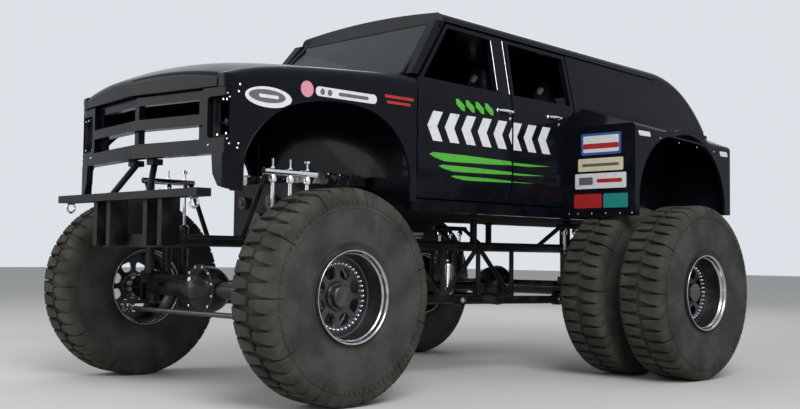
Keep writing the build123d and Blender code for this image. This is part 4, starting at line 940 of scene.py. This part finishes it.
# Fender corners: a short folded panel closes each fender's nose between the grille panel's top
# and the fender's crown, set just behind the fender's cut edge.
corner_radius = 0.095
corner_middle = (2.7691, 0.881)
corner_start_y = 0.849
bend_start_y = 0.8954
cap_steps = 14
cap_step = 0.0071
cap_back = 0.0020
cap_thickness = 0.006
cap_low = 2.0368
corner_caps = Form()
for side in (1, -1):
    rows = []
    for step in range(cap_steps + 1):
        y = corner_start_y + step * cap_step
        x = 3.0 - nose_slant * y
        if y > bend_start_y:
            x = corner_middle[0] + math.sqrt(corner_radius**2 - (y - corner_middle[1]) ** 2)
        x -= cap_back
        cap_high = 2.106 + (2.86 - x) * 0.43
        inner = x - cap_thickness
        section = ((x, cap_low), (x, cap_high), (inner, cap_high), (inner, cap_low))
        rows.append([(px, side * y, pz) for px, pz in section])
    corner_caps.skin(rows)
piece("fender_corner_caps", corner_caps, "truck", body_paint, sharp=50)


# Headlamp openings: the lamps are out, so each opening shows its empty pressed bucket, a stepped
# steel ring with an open back, a cross bar, five screws and the stub of the wiring's socket.
lamp_y = 0.838
lamp_z = 1.846
lamp_half = (0.095, 0.134)
lamp_corner = 0.030
bucket_x = 2.795
lamp_screws = ((-0.074, 0.060), (0.030, 0.112), (0.070, 0.108), (-0.030, -0.112), (0.066, -0.110))

buckets = Form()
adjusters = Form()
bucket_steps = [(0.0, 0.0004), (0.034, 0.0004), (0.038, 0.006), (0.030, 0.016), (0.006, 0.020)]
bucket_steps += [(-0.002, 0.030), (-0.006, 0.026), (0.0, 0.0004)]
for side in (1, -1):
    rows = []
    for forward, inset in bucket_steps:
        shape = rounded(lamp_half[0] - inset, lamp_half[1] - inset, max(lamp_corner - inset, 0.008))
        rows.append([(bucket_x + forward, side * (lamp_y + a), lamp_z + b) for a, b in shape])
    buckets.skin(rows, capped=False)
    buckets.rod([(bucket_x, side * (lamp_y + y), lamp_z - 0.03) for y in (-0.07, 0.07)], 0.008)
    stub = (bucket_x - 0.010, side * (lamp_y + 0.015), lamp_z - 0.028)
    socket = [(-0.02, 0.012), (-0.02, 0.022), (0.020, 0.022), (0.022, 0.018)]
    buckets.turned(socket, stub, (1, 0, 0), 24, True)
    for y, z in lamp_screws:
        seat = (bucket_x + 0.030, side * (lamp_y + y), lamp_z + z)
        screw = [(0.0, 0.0045), (0.010, 0.0045), (0.011, 0.0075), (0.015, 0.0065)]
        adjusters.turned(screw, seat, (1, 0, 0), 16, True)
piece("lamp_buckets", buckets, "truck", satin_black)
piece("lamp_screws", adjusters, "truck", chrome, sharp=30)


# Door hardware: plated pull handles with a push button at the rear edge of each door, two bright
# strips on each front door's window frame and a pull on the tailgate.
grip_steps = 12
grip_corners = 12
# Each door's handle, by its two feet and its height, and each strip, by its place and its two ends
handle_table = [("front", 0.124, 0.276, 2.140), ("rear", -0.520, -0.372, 2.150)]
strips = ((0.262, 2.306, 2.715), (0.116, 2.290, 2.735))

for side, name in sides:
    for door, x0, x1, z in handle_table:
        handle = Form()
        y = flank_at(z)
        for x in (x0, x1):
            foot_steps = [(0.0, 0.017), (0.003, 0.017), (0.008, 0.011), (0.026, 0.009)]
            handle.turned(foot_steps, (x, side * y, z), (0, side, 0), 24, True)
        button = [(0.006, 0.004), (0.006, 0.011), (0.030, 0.011), (0.034, 0.008)]
        handle.turned(button, (x0 + 0.002, side * y, z), (0, side, 0), 24, True)
        rows = []
        for step in range(grip_steps + 1):
            share = step / grip_steps
            x = x0 - 0.012 + (x1 - x0 + 0.024) * share
            bulge = math.sin(math.pi * share)
            high, deep = 0.006 + 0.006 * bulge, 0.003 + 0.002 * bulge
            middle_y = side * (y + 0.022 + 0.010 * bulge)
            row = []
            for corner in range(grip_corners):
                angle = math.tau * corner / grip_corners
                row.append((x, middle_y + side * deep * math.cos(angle), z + high * math.sin(angle)))
            rows.append(row)
        handle.skin(rows)
        lock = [(0.0, 0.013), (0.003, 0.013), (0.005, 0.010), (0.005, 0.002)]
        handle.turned(lock, (x0 + 0.006, side * flank_at(z - 0.055), z - 0.055), (0, side, 0), 24, True)
        if door == "front":
            for x, *ends in strips:
                handle.rod([(x, side * (flank_at(z) + 0.0015), z) for z in ends], 0.0028, 10)
        piece(f"door_{door}_{name}_brightwork", handle, f"door_{door}_{name}", chrome)

tailgate_face = -2.963
pull_z = 2.10
gate_pull = Form()
for y in (-0.09, 0.09):
    foot_steps = [(0.0, 0.018), (-0.004, 0.018), (-0.010, 0.010), (-0.03, 0.009)]
    gate_pull.turned(foot_steps, (tailgate_face, y, pull_z), (1, 0, 0), 24, True)
pull_path = [(tailgate_face - off, y, pull_z) for off, y in ((0.028, -0.105), (0.034, 0.0), (0.028, 0.105))]
gate_pull.rod(pull_path, 0.010)
piece("tailgate_pull", gate_pull, "tailgate", chrome)


# Painted livery and stickers, plain shapes in the truck's colours: a row of white chevrons, green
# darts and lozenges along the doors, ovals and bars on the fenders and blank panels on the flares.
sticker_proud = 0.0009
sticker_seat = 0.0001
sticker_table = {
    "white": (0.70, 0.71, 0.72),
    "green": (0.075, 0.420, 0.035),
    "grey": (0.12, 0.12, 0.13),
    "pink": (0.66, 0.28, 0.34),
    "red": (0.42, 0.020, 0.022),
    "blue": (0.040, 0.100, 0.330),
    "cream": (0.66, 0.60, 0.42),
    "teal": (0.020, 0.240, 0.230),
}
sticker = {}
for colour_name, colour in sticker_table.items():
    vinyl = Finish(f"vinyl_{colour_name}", {"Specular IOR Level": 0.35})
    scuff = vinyl.ramp(vinyl.noise(24.0, 5.0), 0.50, 0.78)
    vinyl.set({"Base Color": vinyl.mix(scuff * 0.35, colour, tuple(0.45 * part for part in colour))})
    vinyl.set({"Roughness": 0.28 + scuff * 0.35})
    sticker[colour_name] = vinyl

door_spans = {"front": (0.1055, 1.1785), "rear": (-0.5950, 0.0845)}


def add_band(form, side, stations, span):
    """Lay a thin skin on the doors' flank between (z, rear x, front x) stations, within a span."""
    rows = []
    for (z0, a0, b0), (z1, a1, b1) in zip(stations, stations[1:]):
        steps = max(2, math.ceil(abs(z1 - z0) / 0.012))
        for step in range(steps + 1):
            share = step / steps
            z = z0 + (z1 - z0) * share
            rear = min(max(a0 + (a1 - a0) * share, span[0]), span[1])
            front = min(max(b0 + (b1 - b0) * share, span[0]), span[1])
            if front - rear > 0.0006 and not (rows and abs(rows[-1][0][2] - z) < 0.0001):
                near, far = (side * (flank_at(z) + lift) for lift in (sticker_proud, sticker_seat))
                rows.append([(front, near, z), (rear, near, z), (rear, far, z), (front, far, z)])
    if len(rows) > 1:
        form.skin(rows)


def add_plate(form, outline, place):
    """A thin flat sticker, each point of whose outline is put on the truck, at a lift, by place."""
    form.skin([[place(a, b, lift) for a, b in outline] for lift in (sticker_seat, sticker_proud)])


chevrons = 8
chevron_front = 1.085
chevron_pitch = 0.188
chevron_width = 0.104
chevron_lean = 0.062
chevron_heights = (1.836, 1.948, 2.060)
# Each dart: its front and rear end, its height and half its thickness
dart_table = [(1.060, -0.400, 1.720, 0.030), (0.960, -0.330, 1.640, 0.022), (0.820, -0.200, 1.574, 0.015)]
lozenges = 4
lozenge_front = 0.720
lozenge_pitch = 0.112
for side, side_name in sides:
    for door, span in door_spans.items():
        white, green, lime = Form(), Form(), Form()
        for index in range(chevrons):
            front = chevron_front - index * chevron_pitch
            rear = front - chevron_width
            leans = zip(chevron_heights, (chevron_lean, 0.0, chevron_lean))
            add_band(white, side, [(z, rear - lean, front - lean) for z, lean in leans], span)
        for start, end, z, half in dart_table:
            dart = [(z - half, start - 0.250, start - 0.160), (z - 0.25 * half, end + 0.300, start - 0.050)]
            dart += [(z + 0.45 * half, end, start), (z + half, start - 0.420, start - 0.040)]
            add_band(green, side, dart, span)
        for index in range(lozenges):
            middle = lozenge_front - index * lozenge_pitch
            lozenge = [(2.092, middle - 0.050, middle - 0.020), (2.136, middle - 0.046, middle + 0.046)]
            lozenge += [(2.180, middle + 0.020, middle + 0.050)]
            add_band(lime, side, lozenge, span)
        body = f"door_{door}_{side_name}"
        groups = (("row", white, "white"), ("darts", green, "green"), ("lozenges", lime, "green"))
        for label, form, finish in groups:
            if form.faces:
                piece(f"livery_{door}_{side_name}_{label}", form, body, sticker[finish])


def ellipse(x, z, half_x, half_z, steps=40):
    """Outline of an ellipse about a point in X and Z."""
    angles = [math.tau * step / steps for step in range(steps)]
    return [(x + half_x * math.cos(angle), z + half_z * math.sin(angle)) for angle in angles]


def panel(rear, front, low, high, lean=0.0, corner=0.012):
    """Outline of a leaning panel with rounded corners, in X and Z."""
    shape = rounded((front - rear) / 2, (high - low) / 2, corner, 4)
    middle_x, middle_z = (front + rear) / 2, (high + low) / 2
    return [(middle_x + a + lean * b, middle_z + b) for a, b in shape]


# Each sticker: its colour, its outline and how many stickers lie under it
fender_stickers = [
    ("white", ellipse(2.560, 1.990, 0.190, 0.068), 0),
    ("grey", ellipse(2.572, 1.996, 0.150, 0.043), 1),
    ("white", panel(2.480, 2.640, 1.984, 2.006, 0.3, 0.009), 2),
    ("pink", ellipse(2.240, 2.082, 0.055, 0.055), 0),
    ("white", panel(1.600, 2.165, 2.046, 2.112, 0.0, 0.030), 0),
    ("grey", ellipse(2.105, 2.078, 0.020, 0.022), 1),
    ("grey", ellipse(2.040, 2.078, 0.020, 0.022), 1),
    ("grey", panel(1.680, 1.960, 2.066, 2.090, 0.0, 0.010), 1),
    ("red", panel(1.230, 1.520, 2.106, 2.128, 0.2, 0.006), 0),
    ("red", panel(1.260, 1.500, 2.066, 2.086, 0.2, 0.006), 0),
]
flare_stickers = [
    ("white", panel(-0.860, -0.690, 1.978, 2.018, 0.4), 0),
    ("white", panel(-2.120, -1.990, 1.900, 1.944, 0.4), 0),
]
flare_panels = [
    ("blue", panel(1.120, 1.520, 1.835, 2.015), 0),
    ("white", panel(1.142, 1.498, 1.855, 1.995), 1),
    ("red", panel(1.142, 1.498, 1.886, 1.930), 2),
    ("cream", panel(1.090, 1.540, 1.698, 1.806), 0),
    ("grey", panel(1.130, 1.500, 1.738, 1.762), 1),
    ("white", panel(1.060, 1.570, 1.552, 1.680), 0),
    ("grey", panel(1.100, 1.240, 1.585, 1.648), 1),
    ("red", panel(1.280, 1.530, 1.600, 1.632), 1),
    ("red", panel(1.050, 1.330, 1.390, 1.508), 0),
    ("teal", panel(1.345, 1.585, 1.390, 1.508), 0),
]
# Where the three groups lie: on the fender's side, on the flare's side and on the flare's front
sticker_groups = [
    (fender_stickers, lambda x, z, lift: (x, side * (fender_face + lift), z)),
    (flare_stickers, lambda x, z, lift: (x, side * (flare_face + lift), z)),
    (flare_panels, lambda y, z, lift: (flare_front_x + lift, side * y, z)),
]
for side, side_name in sides:
    forms = {colour_name: Form() for colour_name in sticker_table}
    for stickers, place in sticker_groups:
        for colour_name, outline, under in stickers:
            raised = under * sticker_proud
            add_plate(forms[colour_name], outline, lambda a, b, lift: place(a, b, raised + lift))
    for colour_name, form in forms.items():
        if form.faces:
            piece(f"stickers_{side_name}_{colour_name}", form, "truck", sticker[colour_name])


# Seats: four racing bucket seats on folded steel stands. Each has a moulded shell, a cushion between
# raised bolsters and a tall back pad with a round head, in black vinyl sewn into channels. The pads
# are swelled with cloth simulation, once for each of the two shapes.
seat_rows = (0.030, -0.880)
seat_y = 0.420
seat_half = 0.240
seat_length = 0.540
cushion_low = 1.588
pan_low = 1.570
cushion_high = 1.700
bolster_high = 1.748
stand_low = 1.3506
seat_rake = math.radians(12)
back_foot = (0.040, 1.640)
back_width = 0.240
head_width = 0.110
shoulder_up = 0.64
head_up = 0.79
pad_thickness = 0.080
voxel = 0.0095
swell_frames = 20
swell_cap = 0.011
channel_depth = 0.007
channel_width = 0.008
cushion_side_line = 0.148
cushion_cross_lines = (0.12, 0.20, 0.28, 0.36, 0.44)
back_side_line = 0.150
back_cross_lines = (0.16, 0.26, 0.36, 0.46, 0.56, 0.66)
head_line = 0.745

vinyl_black = Finish("seat_vinyl", {"Specular IOR Level": 0.30, "Sheen Weight": 0.08})
vinyl_black.wear((9.0, 6.0, 0.42, 0.74), (0.011, 0.011, 0.012), (0.034, 0.033, 0.031), (0.42, 0.30))
vinyl_black.relief(vinyl_black.noise(520.0, 4.0), 0.0004, 0.7)


def back_half(up):
    """Half the width of the seat's back at a distance up its slope."""
    if up <= shoulder_up:
        return back_width - 0.012 * (1 - up / shoulder_up)
    if up <= head_up:
        share = (up - shoulder_up) / (head_up - shoulder_up)
        return back_width - (back_width - head_width) * share**1.7
    share = min((up - head_up) / 0.205, 1.0)
    return head_width * math.sqrt(max(1 - share**2, 0.0))


def back_point(across, up, forward):
    """A point of the back, from its place across, up its slope and out of its face."""
    lean, rise = math.sin(seat_rake), math.cos(seat_rake)
    foot_x, foot_z = back_foot
    return (foot_x - lean * up + rise * forward, across, foot_z + rise * up + lean * forward)


def soft_ring(half, low, high, power=0.42, steps=40):
    """A closed cross-section between two heights with softly squared corners."""
    ring = []
    for step in range(steps):
        angle = math.tau * step / steps
        a, b = (math.copysign(abs(part) ** power, part) for part in (math.cos(angle), math.sin(angle)))
        ring.append((half * a, (low + high) / 2 + (high - low) / 2 * b))
    return ring


def cushion_form():
    """The cushion before it swells: flat below, dished on top between two bolsters."""
    form = Form()
    rows = []
    stations = [(0.010, 0.80), (0.022, 0.95), (0.050, 1.0), (0.300, 1.0), (0.450, 0.98), (0.505, 0.90)]
    stations += [(0.528, 0.70)]
    for x, fullness in stations:
        row = []
        for across, height in soft_ring(seat_half - 0.010, cushion_low, cushion_high):
            if height > (cushion_low + cushion_high) / 2:
                wing = max(abs(across) - 0.150, 0.0) / 0.080
                rise = (bolster_high - cushion_high) * min(wing, 1.0) * (1.0 if x < 0.46 else 0.3)
                height = cushion_low + (height + rise - cushion_low) * fullness
            row.append((x, across * (0.97 + 0.03 * fullness), height))
        rows.append(row)
    form.skin(rows)
    return form


def back_form():
    """The back pad before it swells: a slab with round edges, narrow at the head."""
    form = Form()
    rows = []
    heights = (0.070, 0.085, 0.120, 0.300, 0.500, 0.620, 0.680, 0.730, 0.780, 0.830, 0.880, 0.920)
    for up in heights + (0.950, 0.970, 0.980):
        half = max(back_half(up) - 0.012, 0.020)
        end = min((up - 0.062) / 0.030, (0.992 - up) / 0.040, 1.0)
        thick = pad_thickness * math.sqrt(max(end, 0.15))
        ring = soft_ring(half, -0.040, -0.040 + thick)
        rows.append([back_point(across, up, forward) for across, forward in ring])
    form.skin(rows)
    return form


def swell(form, pressed_at):
    """Swell a form like a stuffed pad, press in its sewn channels, and give points and faces."""
    mesh = bpy.data.meshes.new("pad")
    mesh.from_pydata(form.points, [], form.faces)
    pad = bpy.data.objects.new("pad", mesh)
    scene.collection.objects.link(pad)
    remesh = pad.modifiers.new("voxels", "REMESH")
    remesh.mode = "VOXEL"
    remesh.voxel_size = voxel
    depsgraph = bpy.context.evaluated_depsgraph_get()
    fine = bpy.data.meshes.new_from_object(pad.evaluated_get(depsgraph))
    pad.modifiers.clear()
    pad.data = fine
    start = [vertex.co.copy() for vertex in fine.vertices]
    cloth = pad.modifiers.new("cloth", "CLOTH")
    cloth.settings.use_pressure = True
    cloth.settings.uniform_pressure_force = 4.0
    cloth.settings.effector_weights.gravity = 0.0
    cloth.point_cache.frame_end = swell_frames
    for frame_number in range(1, swell_frames + 1):
        scene.frame_set(frame_number)
    depsgraph = bpy.context.evaluated_depsgraph_get()
    swelled = bpy.data.meshes.new_from_object(pad.evaluated_get(depsgraph))
    pad.modifiers.clear()
    scene.frame_set(1)
    for vertex, place in zip(swelled.vertices, start):
        move = vertex.co - place
        if move.length > swell_cap:
            vertex.co = place + move.normalized() * swell_cap
    pad.data = swelled
    shaped = bmesh.new()
    shaped.from_mesh(pad.data)
    shaped.normal_update()
    points = []
    for vertex in shaped.verts:
        points.append(vertex.co - vertex.normal * channel_depth * pressed_at(vertex.co))
    faces = [[vertex.index for vertex in face.verts] for face in shaped.faces]
    shaped.free()
    bpy.data.objects.remove(pad)
    return points, faces


def channel(distance):
    """How deep a sewn channel is pressed, from 0 to 1, at a distance from its line."""
    return math.exp(-((distance / channel_width) ** 2))


def cushion_lines(place):
    """The cushion's channels: along both bolsters and five across the dished middle."""
    along = channel(abs(place.y) - cushion_side_line)
    inside = 1.0 if abs(place.y) < cushion_side_line and place.z > 1.62 else 0.0
    across = max(channel(place.x - line) for line in cushion_cross_lines) * inside
    return max(along, 0.7 * across)


def back_lines(place):
    """The back's channels: along both sides and across it at even steps below the head."""
    up = (place.z - back_foot[1]) / math.cos(seat_rake)
    along = channel(abs(place.y) - back_side_line) * (1.0 if up < 0.70 else 0.0)
    inside = 1.0 if abs(place.y) < back_side_line else 0.0
    across = max(channel(up - line) for line in back_cross_lines) * inside
    return max(along, 0.7 * across, channel(up - head_line))


seat_places = [(x, y) for x in seat_rows for y in (seat_y, -seat_y)]
for label, form, lines in (("cushion", cushion_form(), cushion_lines), ("back", back_form(), back_lines)):
    points, faces = swell(form, lines)
    for order, (x, y) in enumerate(seat_places):
        copy = Form()
        copy.add([point + Vector((x, y, 0)) for point in points], faces)
        made = piece(f"seat_{label}_{order}", copy, "truck", vinyl_black, sharp=60)

shells = Form()
stands = Form()
discs = Form()
rail_offset = 0.165
for x, y in seat_places:
    rows = []
    for lift, grow in ((0.0, -0.030), (0.004, -0.012), (0.018, -0.002), (0.030, -0.004)):
        shape = rounded(seat_length / 2 + grow, seat_half + grow, 0.050, 5)
        rows.append([(x + seat_length / 2 + a, y + b, pan_low + lift) for a, b in shape])
    shells.skin(rows)
    rows = []
    for up in (0.030, 0.10, 0.30, 0.50, 0.62, 0.68, 0.73, 0.78, 0.83, 0.88, 0.92, 0.95, 0.97, 0.978):
        half = max(back_half(up) - 0.004, 0.020)
        section = [(-half, -0.030), (-0.8 * half, -0.050), (0.8 * half, -0.050), (half, -0.030)]
        section += [(half - 0.006, -0.026), (-half + 0.006, -0.026)]
        row = [back_point(across, up, forward) for across, forward in section]
        rows.append([(px + x, py + y, pz) for px, py, pz in row])
    shells.skin(rows)
    for rail_y in (y + rail_offset, y - rail_offset):
        stands.block((x + 0.065, rail_y - 0.018, stand_low), (x + 0.475, rail_y + 0.018, stand_low + 0.022))
        for foot_x, lean in ((x + 0.095, 0.020), (x + 0.445, -0.020)):
            foot = (foot_x, rail_y, stand_low + 0.020)
            stands.rod([foot, (foot_x + lean, rail_y, pan_low + 0.003)], 0.015, 12)
        brace = [(x + 0.10, rail_y, stand_low + 0.03), (x + 0.42, rail_y, pan_low - 0.01)]
        stands.rod(brace, 0.009, 10)
    face_x, _, face_z = back_point(0.0, 0.865, 0.0515)
    out = (math.cos(seat_rake), 0.0, math.sin(seat_rake))
    disc = [(-0.014, 0.034), (0.0005, 0.034), (0.0025, 0.031), (0.003, 0.004)]
    discs.turned(disc, (face_x + x, y, face_z), out, 32, True)
shell_made = piece("seat_shells", shells, "truck", satin_black, sharp=35)
piece("seat_stands", stands, "truck", satin_black, sharp=35)
piece("head_discs", discs, "truck", sticker["white"])
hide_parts("bucket_seats")


# Cockpit: five blank gauges in plated rings on the dash, and a ribbed black grip and a plated cap
# on the steering wheel.
dash_face_x = 0.931
gauge_z = 2.150
grip_radius = 0.185
grip_sectors = 24
grip_share = 0.78
wheel_hub = Vector((0.760, 0.420, 2.130))
column_foot = Vector((0.990, 0.420, 2.065))
wheel_axis = (wheel_hub - column_foot).normalized()
gauge_table = [(0.560, 0.045), (0.300, 0.045), (0.150, 0.030), (0.060, 0.030), (-0.030, 0.030)]
gauge_rings = Form()
gauge_faces = Form()
for y, radius in gauge_table:
    spot = (dash_face_x, y, gauge_z)
    ring = [(0.012, radius), (-0.010, radius), (-0.016, radius - 0.003), (-0.012, radius - 0.006)]
    gauge_rings.turned(ring, spot, (1, 0, 0), 32)
    gauge_faces.turned([(0.012, radius - 0.003), (-0.008, radius - 0.003)], spot, (1, 0, 0), 32, True)
piece("gauge_rings", gauge_rings, "truck", chrome)
piece("gauge_faces", gauge_faces, "truck", dash_plastic)

wheel_cap = Form()
cap = [(0.020, 0.044), (0.024, 0.042), (0.028, 0.030), (0.029, 0.004)]
wheel_cap.turned(cap, wheel_hub, wheel_axis, 32, True)
grip_out = wheel_axis.orthogonal().normalized()
grip_across = wheel_axis.cross(grip_out)
grips = Form()
for sector in range(grip_sectors):
    path = []
    for step in range(7):
        angle = math.tau * (sector + grip_share * step / 6) / grip_sectors
        spoke = grip_out * math.cos(angle) + grip_across * math.sin(angle)
        path.append(wheel_hub + spoke * grip_radius)
    grips.rod(path, 0.0163, 12)
piece("steering_wheel_cap", wheel_cap, "truck", chrome)
piece("steering_wheel_grips", grips, "truck", vinyl_black)


# Windows: tinted laminated glass, raked at the front and curved at the rear, with a light film of
# dust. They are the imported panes, and only their finish is made here.
glass = Finish("window_pane", {"Coat Weight": 0.1, "Coat Roughness": 0.02, "Specular IOR Level": 0.15})
glass_film = glass.wear((6.0, 5.0, 0.40, 0.75), (0.004, 0.010, 0.013), (0.007, 0.014, 0.017), (0.03, 0.02))
glass.set({"Alpha": 0.84 + glass_film * 0.03})
for slot in nodes["window_glass"].material_slots:
    slot.material = glass.material
